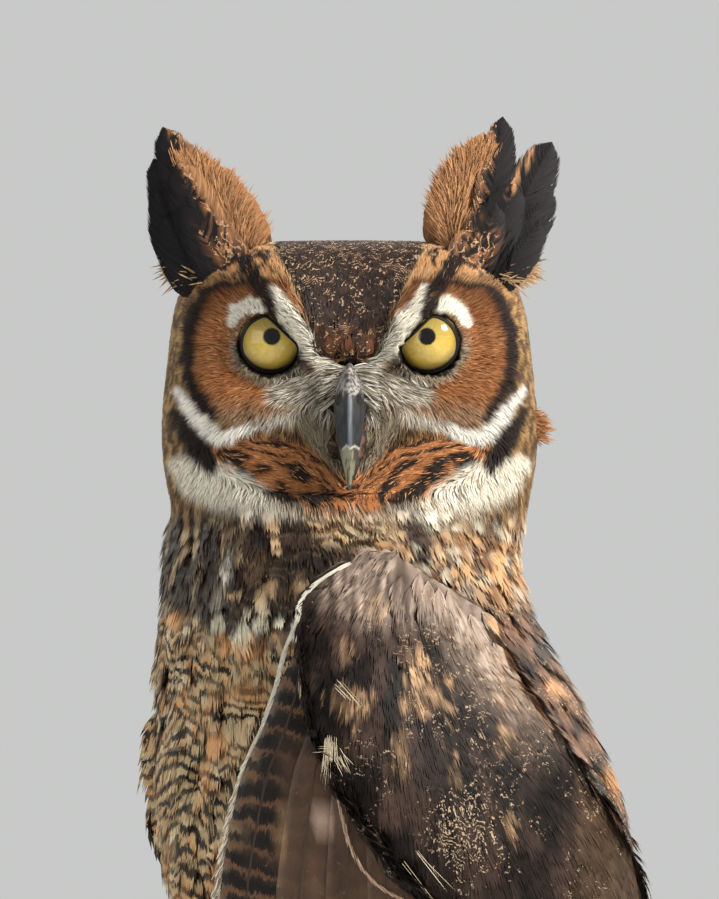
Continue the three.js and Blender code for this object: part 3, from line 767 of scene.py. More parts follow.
def noise_node(tree, vector, scale, detail=2.0, rough=0.5):
    inputs = {"Vector": vector, "Scale": scale, "Detail": detail, "Roughness": rough}
    return add_node(tree, "TexNoise", inputs, "Fac")


def joined_xyz(tree, *parts):
    return add_node(tree, "CombineXYZ", dict(enumerate(parts)))


def parts_of(tree, vector):
    return add_node(tree, "SeparateXYZ", {0: vector}).node.outputs


def scaled(tree, color, factor):
    return add_node(tree, "VectorMath", {0: color, "Scale": factor}, operation="SCALE")


def stored(tree, name, output="Vector"):
    return add_node(tree, "Attribute", {}, output, attribute_name=name)


def bump(tree, height, strength, distance):
    inputs = {"Height": height, "Strength": strength, "Distance": distance}
    return add_node(tree, "Bump", inputs, "Normal")


# %% The feather group
feather_group = bpy.data.node_groups.new("feather_pattern", "ShaderNodeTree")
for label, kind, value in (
    ("Tint", "Color", (0.2, 0.15, 0.1, 1)), ("Barb", "Vector", None), ("Marks", "Vector", None),
    ("Bar color", "Color", (0.04, 0.025, 0.018, 1)), ("Pale color", "Color", (0.62, 0.52, 0.4, 1)),
    ("Fleck rows", "Float", 2.5), ("Streak", "Float", 0.5), ("Variety", "Float", 0.36),
):
    socket = feather_group.interface.new_socket(name=label, in_out="INPUT", socket_type="NodeSocket" + kind)
    if value is not None:
        socket.default_value = value
for label, kind in (("Color", "Color"), ("Height", "Float")):
    feather_group.interface.new_socket(name=label, in_out="OUTPUT", socket_type="NodeSocket" + kind)


def build_feather_group(tree):
    given = tree.nodes.new("NodeGroupInput").outputs
    across, along, chance = parts_of(tree, given["Barb"])
    phase, bars, flecks = parts_of(tree, given["Marks"])
    own = times(tree, chance, 97.0)
    # dark bars, each with a pale bar beside it
    wave = joined_xyz(tree, times(tree, across, 0.22), times(tree, phase, 0.9), own)
    hairy = joined_xyz(tree, times(tree, across, 2.4), times(tree, along, 0.15), own)
    ripple = plus(tree, times(tree, noise_node(tree, wave, 1.0, 5.0, 0.8), 0.9),
                  times(tree, noise_node(tree, hairy, 1.0), 0.55))
    cycle = maths("FRACT", tree, plus(tree, phase, ripple))
    bar = times(tree, band(tree, cycle, 0.02, 0.1, 0.44, 0.56), bars)
    light = times(tree, band(tree, cycle, 0.54, 0.62, 0.74, 0.88), bars)
    # pale squiggles: thin wavering lines that run on over several feathers, broken into short pieces
    place = add_node(tree, "TexCoord", {}, "Object")
    bent = times(tree, noise_node(tree, place, 200.0, 3.0, 0.6), 4.0)
    rows = maths("FRACT", tree, plus(tree, times(tree, phase, given["Fleck rows"]), bent))
    gate = plus(tree, noise_node(tree, place, 330.0, 4.0, 0.65), times(tree, minus(tree, flecks, 1.0), 0.2))
    fleck = times(tree, band(tree, rows, 0.0, 0.12, 0.2, 0.36), stepped(tree, gate, 0.47, 0.55))
    fleck = times(tree, fleck, times(tree, flecks, 4.0, use_clamp=True))
    color = mixed(tree, light, given["Tint"], given["Pale color"])
    color = mixed(tree, times(tree, fleck, 0.92), color, given["Pale color"])
    color = mixed(tree, bar, color, given["Bar color"])
    # barbs: fine streaks that lean away from the shaft
    lean = minus(tree, along, maths("ABSOLUTE", tree, across))
    fibre = joined_xyz(tree, times(tree, lean, 2.6), times(tree, across, 0.25), own)
    streak = noise_node(tree, fibre, 1.0, 2.0, 0.6)
    shade = plus(tree, 1.0, times(tree, minus(tree, streak, 0.5), given["Streak"]))
    lively = plus(tree, 1.0, times(tree, minus(tree, chance, 0.5), given["Variety"]))
    color = scaled(tree, color, times(tree, shade, lively))
    fill(tree, tree.nodes.new("NodeGroupOutput"), {"Color": color, "Height": streak})


build_feather_group(feather_group)
print("feather group:", len(feather_group.nodes), "nodes")


# %% Materials from the group
def new_material(name):
    material = bpy.data.materials.new(name)
    material.use_nodes = True
    return material, material.node_tree, material.node_tree.nodes["Principled BSDF"]


def feather_material(name, bar="2c1f17", pale="cdbb9c", rows=2.5, streak=0.5, rough=0.62, sheen=0.15,
                     specular=0.3, variety=0.36):
    material, tree, shader = new_material(name)
    pattern = {
        "Tint": stored(tree, "Tint", "Color"), "Barb": stored(tree, "Barb"), "Marks": stored(tree, "Marks"),
        "Bar color": (*tone(bar), 1), "Pale color": (*tone(pale), 1), "Fleck rows": rows, "Streak": streak,
        "Variety": variety,
    }
    color = add_node(tree, "Group", pattern, "Color", node_tree=feather_group)
    fill(tree, shader, {
        "Base Color": color, "Normal": bump(tree, color.node.outputs["Height"], 0.15, 0.0004),
        "Roughness": rough, "Specular IOR Level": specular, "Sheen Weight": sheen, "Sheen Roughness": 0.4,
    })
    return material


down_material = feather_material("down", streak=0.35, rough=0.75, sheen=0.1, specular=0.15)
contour_material = feather_material("contour_feathers", bar="241912", pale="b89b72", streak=0.5, sheen=0.04,
                                    specular=0.2)
crown_material = feather_material("crown_feathers", pale="c9a482", rows=3.5, sheen=0.04, specular=0.2)
covert_material = feather_material("wing_coverts", pale="b39b80", rough=0.6, sheen=0.04, specular=0.15,
                                   variety=0.14)
flight_material = feather_material("flight_feathers", bar="0d0907", pale="75523a", rough=0.5, specular=0.2,
                                   streak=0.6, sheen=0.02, variety=0.2)
skin_material = feather_material("skin_and_down", streak=0.2, rough=0.85, sheen=0.1, specular=0.1)


# %% Finishing a piece
def dress(obj, slot, material, *nodes):
    """Gives a piece its material, hangs it from the root and hides the nodes that it stands for; slot is not
    used.
    """
    obj.data.materials.append(material)
    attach(obj, "root")
    if nodes:
        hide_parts(*nodes)
    print(f"{obj.name}: {sum(len(p.vertices) - 2 for p in obj.data.polygons)} triangles")


# %% [markdown]
# ## The lie of the coat
# On a live owl the plumage radiates from the bill and the eyes over the face, runs back over the crown and
# down the nape, and lies down the body and the legs. The wings' small feathers spread from the wrist. This
# is a field of directions over the skin, and every tuft starts by asking it which way to go.

# %% The lie of the coat
wrists = {}
for side_name, side in SIDES.items():
    arm_places = corners_of(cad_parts[f"wing_{side_name}_arm"])
    wrists[side] = arm_places[arm_places[:, 2].argmax()]
FOOT_MIDDLE = {side: middle_of(f"foot_{name}") for name, side in SIDES.items()}


def face_heading(local):
    x, y, z = local.T
    side = np.sign(x)
    out = np.abs(x)
    brow = 1 - soft(0, 3, off_ribbon(out, z, BROW))
    bristle = np.maximum(inside(out, z, BRISTLE, 2), inside(out, z, LOW_BRISTLE, 2))
    fall = below_lore(out, z)[1]
    near = (1 - soft(1.5, 7, off_opening(out, z))) * (0.85 - 0.6 * brow)
    way = unit(paint(
        unit(vectors(x - side * 19, 0, z + 3)),
        (unit(vectors(x * 0.5, 0, -38)), 1 - soft(-50, -44, z)),
        (unit(vectors(-side, 0, -fall - 0.15 - 1.5 * soft(42, 52, out))), inside(out, z, RUFF, 3.0)),
        (unit(vectors(side * 0.4, 1.0, -0.45)), soft(60, 70, out)),
        (unit(vectors(-x * 0.9, 0, -(z + 60))), inside(out, z, LORE, 2.5)),
        (unit(vectors(x - side * 2.5, 0, z + 7)), bristle),
        (unit(vectors(x, 0, z + 7)), brow),
        (unit(vectors(x - side * EYE_APART, 0, z)), near),
    ))
    crown = (1 - soft(-1, 3, out - np.interp(z, *CROWN_EDGE))) * soft(-8, -4, z)
    way = blend(way, unit(vectors(side * 0.15 + x * 0.004, 1, 1)), np.maximum(crown, soft(22, 36, z)))
    nape = unit(vectors(side * 0.1, 0.35, -1))
    over = unit(vectors(side * 0.1, 1, -0.1))
    return unit(blend(way, blend(nape, over, soft(20, 38, z)), soft(-14, 8, y)))


def near_wrist(places, wrist):
    return (np.linalg.norm((places - wrist) * [1, 1, 1.4], axis=1) < 20) & (places[:, 2] > wrist[2] - 8)


def heading(places, regions):
    """Which way the coat lies at places of the skin in these regions, before it is laid on the surface."""
    x, y, z = places.T
    side = np.sign(x)
    away = unit(vectors(x, y - SHIFT - 5, 0))
    backward = vectors(-away[:, 1] * side, away[:, 0] * side, 0)
    down = np.array([0.0, 0.0, -1.0])
    way = unit(down + backward * 0.22)
    for arm, wrist in ((ARM_LEFT, wrists[1]), (ARM_RIGHT, wrists[-1])):
        here = (regions == arm) | near_wrist(places, wrist)
        from_wrist = unit(places[here] - wrist - [0, 24, 8])
        way[here] = unit(from_wrist + down * 0.35 + backward[here] * 0.3)
    here = regions >= FOOT
    middle = np.where(side[here][:, None] > 0, FOOT_MIDDLE[1], FOOT_MIDDLE[-1])
    way[here] = unit(unit((places[here] - middle) * [1, 1, 0]) + down * 0.25)
    in_face = soft(336, 352, z) * (regions <= NECK)
    return unit(blend(way, face_heading(in_head(places)) @ HEAD_AXES, in_face))


# %% Roots and paths
def on_skin(places):
    spots, faces = nearest_on(skin_tree, places)
    corners = skin_faces[faces]
    return spots, unit(skin_normals[corners].mean(1)), skin_region[corners[:, 0]]


def scatter(spacing, share):
    """Evenly spread roots. share(places, regions) says where they may grow, from 0 to 1."""
    a, b, c = (skin_places[skin_faces[:, i]] for i in range(3))
    area = np.linalg.norm(np.cross(b - a, c - a), axis=1) / 2
    middle = (a + b + c) / 3
    allowed = share(middle, skin_region[skin_faces[:, 0]])
    weight = area * (allowed > 0)
    tries = int(weight.sum() / spacing**2 * 7)
    pick = dice.choice(len(area), tries, p=weight / weight.sum())
    u, v = dice.random((2, tries))
    turned = u + v > 1
    u, v = np.where(turned, 1 - u, u), np.where(turned, 1 - v, v)
    places = a[pick] + (b - a)[pick] * u[:, None] + (c - a)[pick] * v[:, None]
    cells = np.floor(places / (spacing * 1.12)).astype(np.int64)
    places = places[np.unique(cells, axis=0, return_index=True)[1]]
    kept = dice.random(len(places)) < share(places, on_skin(places)[2])
    return places[kept]


def paths(roots, length, steps, stray=0.15, way_of=heading):
    """Places and normals along each tuft: it leaves its root, keeps to the skin and follows its lie."""
    spot, normal, region = on_skin(roots)
    turn = dice.normal(0, stray, len(roots))[:, None]
    places, normals = [spot], [normal]
    for _ in range(steps):
        way = way_of(spot, region)
        way = unit(way - normal * (way * normal).sum(1, keepdims=True))
        way = way * np.cos(turn) + np.cross(normal, way) * np.sin(turn)
        spot, new_normal, _ = on_skin(spot + way * (length / steps)[:, None])
        normal = unit(normal + new_normal * 1.5)
        places.append(spot)
        normals.append(normal)
    return np.stack(places, 1), np.stack(normals, 1)


# %% [markdown]
# ## Two kinds of tuft
# A strand is one thin tapered blade, for the hair-like feathers of the face. A contour feather is a fan of
# such blades that leave one shaft, which is how barbs hang together in locks on a loose body feather. Both
# are laid along a path on the skin and rise from it to the depth of the coat at their tips.


# %% Strands
PATCH = 0.003  # how wide a tuft's patch of the map is


def strand_map(roots, across, along):
    """Each tuft's patch of the map, at its root."""
    return (unwrap(roots)[:, None] + np.stack([across, along], -1) * PATCH).reshape(-1, 2)


def blade_faces(stations, blades):
    """Triangles of blades whose corners come in pairs, with a single one at the tip."""
    one = []
    for j in range(0, 2 * stations - 4, 2):
        one += [[j, j + 1, j + 3], [j, j + 3, j + 2]]
    last = 2 * stations - 4
    one.append([last, last + 1, last + 2])
    return (np.array(one) + (2 * stations - 1) * np.arange(blades)[:, None, None]).reshape(-1, 3)


def strands(path, normals, width, rise=0.0, start=0.25, roll=0.3, curve=0.7):
    """Blades along paths. width and rise are one number for each; the answer is corners, triangles and, with
    a row for each blade, how far along it and across it each corner is."""
    count, stations = path.shape[:2]
    share = np.linspace(0, 1, stations)
    side = unit(np.cross(normals, np.gradient(path, axis=1)))
    lean = dice.normal(0, roll, count)[:, None, None]
    side = side * np.cos(lean) + normals * np.sin(lean)
    rise, width = (np.broadcast_to(value, count)[:, None] for value in (rise, width))
    height = start + (rise - start) * share**curve
    middle = path + normals * height[..., None]
    half = width * 0.5 * np.sqrt(np.maximum(1 - share**2.2, 0)) * (0.75 + 0.5 * share)
    aside = side * half[..., None]
    corners = np.stack([middle - aside, middle + aside], 2).reshape(count, -1, 3)[:, :-1]
    where = np.tile(np.repeat(share, 2)[:-1], (count, 1))
    across = np.tile([0.0, 1.0], (count, stations))[:, :-1]
    across[:, -1] = 0.5
    return corners.reshape(-1, 3), blade_faces(stations, count), where, across


def strand_piece(name, roots, length, width, rise, slot, stray):
    path, normals = paths(roots, length, 3, stray)
    corners, triangles, where, across = strands(path, normals, width, rise)
    chance = np.repeat(dice.random(len(roots)), where.shape[1])
    color, bars, flecks = coat_colors(corners, chance)
    # painted shade: each strand is painted darker towards its root, in the shade of the coat
    color = color * (1 - 0.35 * (1 - soft(0.0, 0.6, where.ravel())))[:, None]
    aside = (across - 0.5) * np.broadcast_to(width, len(roots))[:, None]
    barb = vectors(aside.ravel(), (where * length[:, None]).ravel(), chance)
    marks = vectors(corners[:, 2] / 7.0, bars, flecks)
    patch = strand_map(roots, across, where)
    made = mesh_object(name, corners, triangles, color, patch, Barb=barb, Marks=marks)
    dress(made, slot, down_material)


# %% Contour feathers
def feather_fans(path, normals, length, width, rise, locks, cup=0.12, ragged=0.08, curve=0.8, bare=0.38):
    """Fans of blades along paths: the middle one runs down the shaft and the others leave it to each side."""
    count, stations = path.shape[:2]
    along = unit(np.gradient(path, axis=1))
    side = unit(np.cross(normals, along))
    corners, across, shares = [], [], []

    def at(values, share):
        place = np.clip(share, 0, 1) * (stations - 1)
        low = np.minimum(place.astype(int), stations - 2)
        part = (place - low)[:, None]
        rows = np.arange(count)
        return values[rows, low] * (1 - part) + values[rows, low + 1] * part

    for index in range(-(locks // 2), locks // 2 + 1):
        tilt = index / (locks // 2)
        first = 0.05 + bare * (1 - abs(tilt)) + dice.normal(0, 0.02, count)
        last = 1.0 - 0.36 * tilt**2 + dice.normal(0, ragged, count) * (0.4 + abs(tilt))
        reach = tilt + dice.normal(0, 0.5 / locks, count)
        for t, wide in zip(np.linspace(0, 1, 4), (0.45, 1.0, 0.85, 0.0)):
            share = first + (last - first) * t
            aside = reach * np.sin(t * np.pi / 2) ** 0.8 * width / 2
            base, up, over, ahead = (at(values, share) for values in (path, normals, side, along))
            lift = 0.4 + rise * np.clip(share, 0, 1.2) ** curve - cup * aside**2 / np.maximum(width, 1)
            middle = base + over * aside[:, None] + up * lift[:, None]
            middle = middle + ahead * (np.clip(share - 1, 0, 1) * length)[:, None]
            half = width * 1.7 / locks * 0.5 * wide
            twist = over * math.cos(0.35 * tilt) - ahead * math.sin(0.5 * tilt)
            for sign in (-1, 1) if wide else (0,):
                corners.append(middle + twist * (sign * half)[:, None])
                across.append(aside + sign * half)
                shares.append(share)
    return np.stack(corners, 1), blade_faces(4, count * locks), np.stack(across, 1), np.stack(shares, 1)


def waves(places, each):
    """The bars of the breast run on across many feathers: they are counted down the body, and waver."""
    x, y, z = in_head(places).T
    waver = 2.1 * noise(places, [14, 14, 10], 18) + 0.9 * noise(places, [4.5, 4.5, 5], 19)
    height = np.where(z > -12, -np.hypot(y + 62, z + 12), z)  # over the crown they are counted from the bill
    return -height / 6.2 + waver + 0.5 * each - 0.06 * np.abs(x + 64)


def fan_piece(name, roots, length, slim, rise, colors, slot, material, locks, steps=3, stray=0.12,
              root_shade=0.45, own=0.45, lock_tone=0.1, **more):
    """own says how much a feather's colour follows the place of each of its points, not only its middle."""
    width = length * slim
    path, normals = paths(roots, length, steps, stray)
    corners, triangles, across, share = feather_fans(path, normals, length, width, rise, locks, **more)
    per = share.shape[1]
    chance = np.repeat(dice.random(len(roots)), per)
    middle = (path[:, -1] * 0.4 + path[:, 0] * 0.6)[:, None]
    color, bars, flecks = colors((middle + (corners - middle) * own).reshape(-1, 3), chance)
    tones = np.clip(dice.normal(1, lock_tone, (len(roots), locks)), 0.6, 1.4)
    # painted shade: each feather is painted darker towards its root, where the coat shades it; tones vary at
    # random from lock to lock
    shade = (1 - root_shade * (1 - soft(0.0, 0.55, share))) * np.repeat(tones, per // locks, axis=1)
    corners = corners.reshape(-1, 3)
    barb = vectors(across.ravel(), (share * length[:, None]).ravel(), chance)
    marks = vectors(waves(corners, chance), bars, flecks)
    patch = strand_map(roots, across / width[:, None] + 0.5, share)
    color = color * shade.ravel()[:, None]
    dress(mesh_object(name, corners, triangles, color, patch, Barb=barb, Marks=marks), slot, material)


# %% The skin as a piece
skin_chance = noise(skin_places, 1.5, 31)
skin_color, skin_bars, skin_flecks = coat_colors(skin_places, skin_chance)
arm_like = np.isin(skin_region, [ARM_LEFT, ARM_RIGHT])
# painted shade: the skin is painted darker than the coat over it, as the shade between the tufts
skin_color = np.where(arm_like[:, None], wing_colors(skin_places, skin_chance)[0], skin_color) * 0.62
skin_barb = vectors(0, skin_places[:, 2], 0.5)
skin_marks = vectors(skin_places[:, 2] / 7.0, skin_bars * ~arm_like, skin_flecks * 0.5)
skin_map = unwrap(skin_places)[skin_faces]
# faces that cross the jump of the turn are put on one side of it
jump = skin_map[..., 0].max(1) - skin_map[..., 0].min(1) > 0.5
skin_map[..., 0] = np.where((skin_map[..., 0] < 0.5) & jump[:, None], 0.9995, skin_map[..., 0])
skin = mesh_object("skin", skin_places, skin_faces, skin_color, skin_map, Barb=skin_barb, Marks=skin_marks)
dress(skin, "body_plumage", skin_material, *FLESH)

# %% [markdown]
# ## The coat
# Strands for the face, small fans for crown and nape, larger ones for the body, smooth ones for the wings.
# Each kind has a rule for where it may grow, and how long and how deep its tufts are there.

# %% Where each kind grows
EYE_CLEAR = 0.9  # no root is nearer the opening of the lids than this


def clear_of_eyes(local):
    return (off_opening(np.abs(local[:, 0]), local[:, 2]) > EYE_CLEAR) | (local[:, 1] > -20)


def clear_of_bill(local):
    return (np.abs(local[:, 0]) > 2.6) | (local[:, 2] > -11) | (local[:, 2] < -53) | (local[:, 1] > -20)


def face_share(places, regions):
    local = in_head(places)
    front = soft(-4, -14, local[:, 1])
    out, z = np.abs(local[:, 0]), local[:, 2]
    crown = (out < np.interp(z, *CROWN_EDGE) - 2.5) & (z > -3)
    ok = (regions <= NECK) & (z > -70) & ~crown & clear_of_eyes(local) & clear_of_bill(local)
    return front * ok


def head_share(places, regions):
    local = in_head(places)
    out, z = np.abs(local[:, 0]), local[:, 2]
    crown = (out < np.interp(z, *CROWN_EDGE) - 0.7) & (z > -6)
    ok = (regions == HEAD) & (crown | (local[:, 1] > -14)) & clear_of_eyes(local)
    return ok * 1.0


def arm_share(index):
    """A wing's own skin, and the skin just above it."""
    wrist = wrists[1 if index == ARM_LEFT else -1]

    def share(places, regions):
        return ((regions == index) | (near_wrist(places, wrist) & (regions <= TRUNK))) * 1.0

    return share


def leg_share(places, regions):
    return ((regions == SHANK) | (regions == FOOT) | (regions == THIGH)) * 1.0


def toe_share(places, regions):
    return (regions == TOE) * soft(2, 5, places[:, 2])


# %% Face strands
face_roots = scatter(0.58, face_share)
print("face strands:", len(face_roots))
local = in_head(face_roots)
face_out, face_up = np.abs(local[:, 0]), local[:, 2]
bristly = np.maximum(inside(face_out, face_up, BRISTLE, 2), inside(face_out, face_up, LOW_BRISTLE, 2))
low_face = 1 - soft(-56, -44, face_up)
near_eye = 1 - soft(1.5, 9, off_opening(face_out, face_up))
ruffled = inside(face_out, face_up, RUFF, 2)
face_length = 6.2 + 4.5 * low_face + 4.0 * bristly + 2.5 * ruffled - 3.4 * near_eye
by_bill = (1 - soft(6, 11, face_out)) * soft(-52, -46, face_up) * (1 - soft(-9, -6, face_up))
face_length = (face_length + 2 * by_bill) * dice.uniform(0.8, 1.2, len(face_roots))
face_rise = 2.6 + 1.4 * low_face + 1.2 * bristly - 1.9 * near_eye + 1.8 * by_bill
face_width = (0.42 + 0.3 * ruffled) * dice.uniform(0.75, 1.25, len(face_roots))
left_half, upper_half = local[:, 0] > 0, local[:, 2] > -16
for label, chosen in (("upper_left", left_half & upper_half), ("upper_right", ~left_half & upper_half),
                      ("lower_left", left_half & ~upper_half), ("lower_right", ~left_half & ~upper_half)):
    strand_piece(f"face_strands_{label}", face_roots[chosen], face_length[chosen], face_width[chosen],
                 face_rise[chosen], "head_plumage", 0.16)

# %% Crown and nape
head_roots = scatter(2.3, head_share)
head_length = 8.5 * dice.uniform(0.85, 1.2, len(head_roots))
fan_piece("crown_feathers", head_roots, head_length, 0.55, 2.6, coat_colors, "head_plumage", crown_material,
          locks=5, steps=2, stray=0.14, curve=0.4)


# %% Neck and body
def neck_share(places, regions):
    z = in_head(places)[:, 2]
    return ((regions == TRUNK) | (regions == NECK)) * soft(-114, -100, z) * (1 - soft(-60, -56, z))


def lower_share(places, regions):
    z = in_head(places)[:, 2]
    return ((regions == TRUNK) | (regions == NECK) | (regions == THIGH)) * (1 - soft(-104, -90, z))


neck_roots = scatter(4.3, neck_share)
neck_length = 14 * dice.uniform(0.8, 1.2, len(neck_roots))
fan_piece("neck_feathers", neck_roots, neck_length, 0.62, 4.6, coat_colors, "body_plumage", contour_material,
          locks=9, stray=0.15, own=0.6, ragged=0.12)
body_roots = scatter(6.6, lower_share)
body_length = 22 * dice.uniform(0.8, 1.15, len(body_roots))
fan_piece("body_feathers", body_roots, body_length, 0.62, 5.4, coat_colors, "body_plumage", contour_material,
          locks=13, stray=0.14, own=0.6, ragged=0.1, lock_tone=0.13)


# %% Wing coverts
def covert_colors(places, strand):
    color, flecks = wing_colors(places, strand)
    return color, 0, flecks


for label, index in (("left", ARM_LEFT), ("right", ARM_RIGHT)):
    roots = scatter(3.9, arm_share(index))
    size = 13 + 11 * soft(10, 120, wrists[SIDES[label]][2] - roots[:, 2])
    length = size * dice.uniform(0.9, 1.15, len(roots))
    fan_piece(f"coverts_{label}", roots, length, 0.44, 1.25, covert_colors, "wing_coverts", covert_material,
              locks=9, stray=0.08, cup=0.05, ragged=0.09, root_shade=0.15, own=0.85, lock_tone=0.16, bare=0.05)

# %% Legs and feet
leg_roots = scatter(2.0, leg_share)
leg_length = 9 * dice.uniform(0.8, 1.2, len(leg_roots))
strand_piece("leg_strands", leg_roots, leg_length, 1.3, 3.2, "leg_feathers", 0.2)
toe_roots = scatter(1.3, toe_share)
toe_length = 4 * dice.uniform(0.8, 1.2, len(toe_roots))
strand_piece("toe_strands", toe_roots, toe_length, 0.8, 1.3, "leg_feathers", 0.2)

# %% [markdown]
# ## Long feathers
# A flight feather is one curved vane on each side of a shaft. It is a grid that follows the shaft, thin as
# card and slightly cupped, with a rounded tip, and the shaft is a narrow ridge laid along it. Whole rows of
# them are joined in one mesh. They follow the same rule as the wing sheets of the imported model: angles
# round the body, heights, and how far the row stands out.

# %% A long feather
def grid_triangles(rows, columns, flip=False):
    r, c = np.meshgrid(np.arange(rows - 1), np.arange(columns - 1), indexing="ij")
    first = (r * columns + c).ravel()
    a = np.stack([first, first + 1, first + columns + 1], 1)
    b = np.stack([first, first + columns + 1, first + columns], 1)
    faces = np.concatenate([a, b])
    return faces[:, ::-1] if flip else faces


def vane(shaft, outward, left, right, cup=0.1, tilt=0.0, columns=7, thick=0.5, quill=0.55):
    """Corners, triangles, across, along and part (0 vane, 1 shaft) of one feather, in millimetres."""
    rows = len(shaft)
    run = unit(np.gradient(shaft, axis=0))
    side = unit(np.cross(outward, run))
    up = np.cross(run, side)
    s = np.linspace(-1, 1, columns)
    half = np.where(s < 0, left[:, None], right[:, None])
    across = s * half
    lift = -cup * np.abs(s) ** 2 * half + tilt * across
    flat = shaft[:, None] + side[:, None] * across[..., None]
    length = np.concatenate([[0], np.cumsum(np.linalg.norm(np.diff(shaft, axis=0), axis=1))])
    ridge = quill * (1 - 0.75 * np.linspace(0, 1, rows)) + 0.1
    offsets = np.array([-1.0, 0.0, 1.0])
    keel = shaft[:, None] + side[:, None] * (offsets * ridge[:, None])[..., None]
    parts = []
    for face in (1, -1):
        height = lift + face * 0.5 * thick * (1 - s**2)
        body = flat + up[:, None] * height[..., None]
        parts.append((body.reshape(-1, 3), grid_triangles(rows, columns, face > 0), across.ravel(),
                      np.repeat(length, columns), np.zeros(rows * columns)))
    for face in (1, -1):
        height = face * (thick * 0.5 + ridge[:, None] * (1.1 - np.abs(offsets) * 1.1) - 0.1)
        body = keel + up[:, None] * height[..., None]
        parts.append((body.reshape(-1, 3), grid_triangles(rows, 3, face > 0), np.zeros(rows * 3),
                      np.repeat(length, 3), np.ones(rows * 3)))
    return joined(parts)


def rounded_tip(share, full=0.8, root=0.12):
    """The outline of a feather: narrow at its root, full, and rounded at its tip."""
    tip = np.sqrt(np.clip(1 - (np.clip(share - full, 0, 1) / (1 - full)) ** 2, 0, 1))
    return (0.3 + 0.7 * soft(0, root, share)) * tip


# %% The lie of the wings and tail
CLOAK = np.array([  # height, middle, half width, depth before it and behind it
    [372, -5, 62, 60, 58], [345, -5, 71, 70, 67], [320, -5, 72, 70, 68], [290, -2, 76, 71, 72],
    [250, 3, 89, 72, 91], [210, 11, 92, 80, 96], [170, 22, 88, 82, 88], [130, 40, 84, 82, 82],
    [90, 60, 74, 84, 66], [50, 82, 62, 90, 50], [10, 104, 50, 96, 34],
], float)[::-1]


def smooth_through(knots, points, at):
    """A smooth line that has its points at the knots, asked for at other places."""
    slopes = np.gradient(points, knots, axis=0)
    i = np.clip(np.searchsorted(knots, at) - 1, 0, len(knots) - 2)
    step = (knots[i + 1] - knots[i])[:, None]
    t = (at - knots[i])[:, None] / step
    a, b, slope_a, slope_b = points[i], points[i + 1], slopes[i] * step, slopes[i + 1] * step
    return ((2 * t**3 - 3 * t**2 + 1) * a + (t**3 - 2 * t**2 + t) * slope_a
            + (3 * t**2 - 2 * t**3) * b + (t**3 - t**2) * slope_b)


def on_cloak(side, angle, height, out):
    """Places that stand out from the body by so much, at an angle round it and a height."""
    level = np.clip(height, CLOAK[0, 0], CLOAK[-1, 0])
    middle, half, before, behind = smooth_through(CLOAK[:, 0], CLOAK[:, 1:], level).T
    angle = np.radians(angle)
    facing = np.cos(angle) > 0
    power = 2 / np.where(facing, 2.2, 2.5)
    x = half * np.abs(np.sin(angle)) ** power * np.sign(np.sin(angle))
    y = -np.where(facing, before, behind) * np.abs(np.cos(angle)) ** power * np.sign(np.cos(angle))
    away = unit(np.stack([x, y], 1))
    places = vectors(side * (x + away[:, 0] * out), y + middle + SHIFT + away[:, 1] * out, height)
    return places, vectors(side * away[:, 0], away[:, 1], 0)


def wing_lie(side, roots, tips, reach, sweep):
    """The lie of a row of feathers between its first and last root (angle, height, out) and tip."""
    roots, tips = np.array(roots, float), np.array(tips, float)

    def lie(across, along):
        root = roots[0] + (roots[1] - roots[0]) * across
        tip = tips[0] + (tips[1] - tips[0]) * across
        swept = np.maximum(along, 0) ** (sweep[0] + (sweep[1] - sweep[0]) * across)
        angle = root[0] + (tip[0] - root[0]) * swept
        lowest = tip[1] - reach * np.sin(np.pi * np.clip(across, 0, 1) ** 1.3)
        height = root[1] + (lowest - root[1]) * along
        return on_cloak(side, angle, height, root[2] + (tip[2] - root[2]) * along)

    return lie


left_hand = wing_lie(1, [[88, 225, -1], [49, 298, 12]], [[140, 80, -3], [7, 92, 27]], 50, (1.4, 0.5))


def left_hand_lie(across, along):
    """The first feathers of the left wing bow in under the wrist and out again below it."""
    places, away = left_hand(across, along)
    height = in_head(places)[:, 2]
    bow = np.interp(height, [-185, -160, -134, -116, -104], [0, -2, 5, 6, 3]) * max(across, 0) ** 2
    return places + HEAD_X * bow[:, None], away


def tail_lie(across, along):
    off = 2 * across - 1
    places = vectors(off * (22 + 28 * along), 72 + 65 * along - 14 * off**2 + SHIFT,
                     178 - 171 * along + along * 7 * off**2)
    return places, np.tile(unit(np.array([off * 0.25, 1, 0.35])), (len(along), 1))


left_arm = wing_lie(1, [[80, 212, 8], [126, 206, 1]], [[148, 84, 5], [174, 126, 2]], 0, (1.8, 1.0))
right_hand = wing_lie(-1, [[104, 160, -5], [56, 176, -4]], [[172, 104, -4], [126, 46, -3]], 14, (1.2, 1.5))
right_arm = wing_lie(-1, [[62, 200, 3], [138, 196, 1]], [[142, 74, 3], [175, 114, 2]], 0, (1.8, 1.0))
FLIGHT_ROWS = {  # name: lie, feathers, how wide a feather is beside the room it has
    "wing_left_primaries": (left_hand_lie, 10, 1.25),
    "wing_left_secondaries": (left_arm, 8, 1.3),
    "wing_right_primaries": (right_hand, 10, 1.25),
    "wing_right_secondaries": (right_arm, 8, 1.3),
    "tail": (tail_lie, 12, 1.35),
}

# %% Flight feathers and tail
MAUVE, MAUVE_DARK, PALE_EDGE = tone("32231a"), tone("120c09"), tone("d8ccbc")
PALE_SPOTS = (((-25, -180, 2.4, 13), "a37f5c"), ((-9, -177, 5, 4), "c2a392"))  # on the left wing


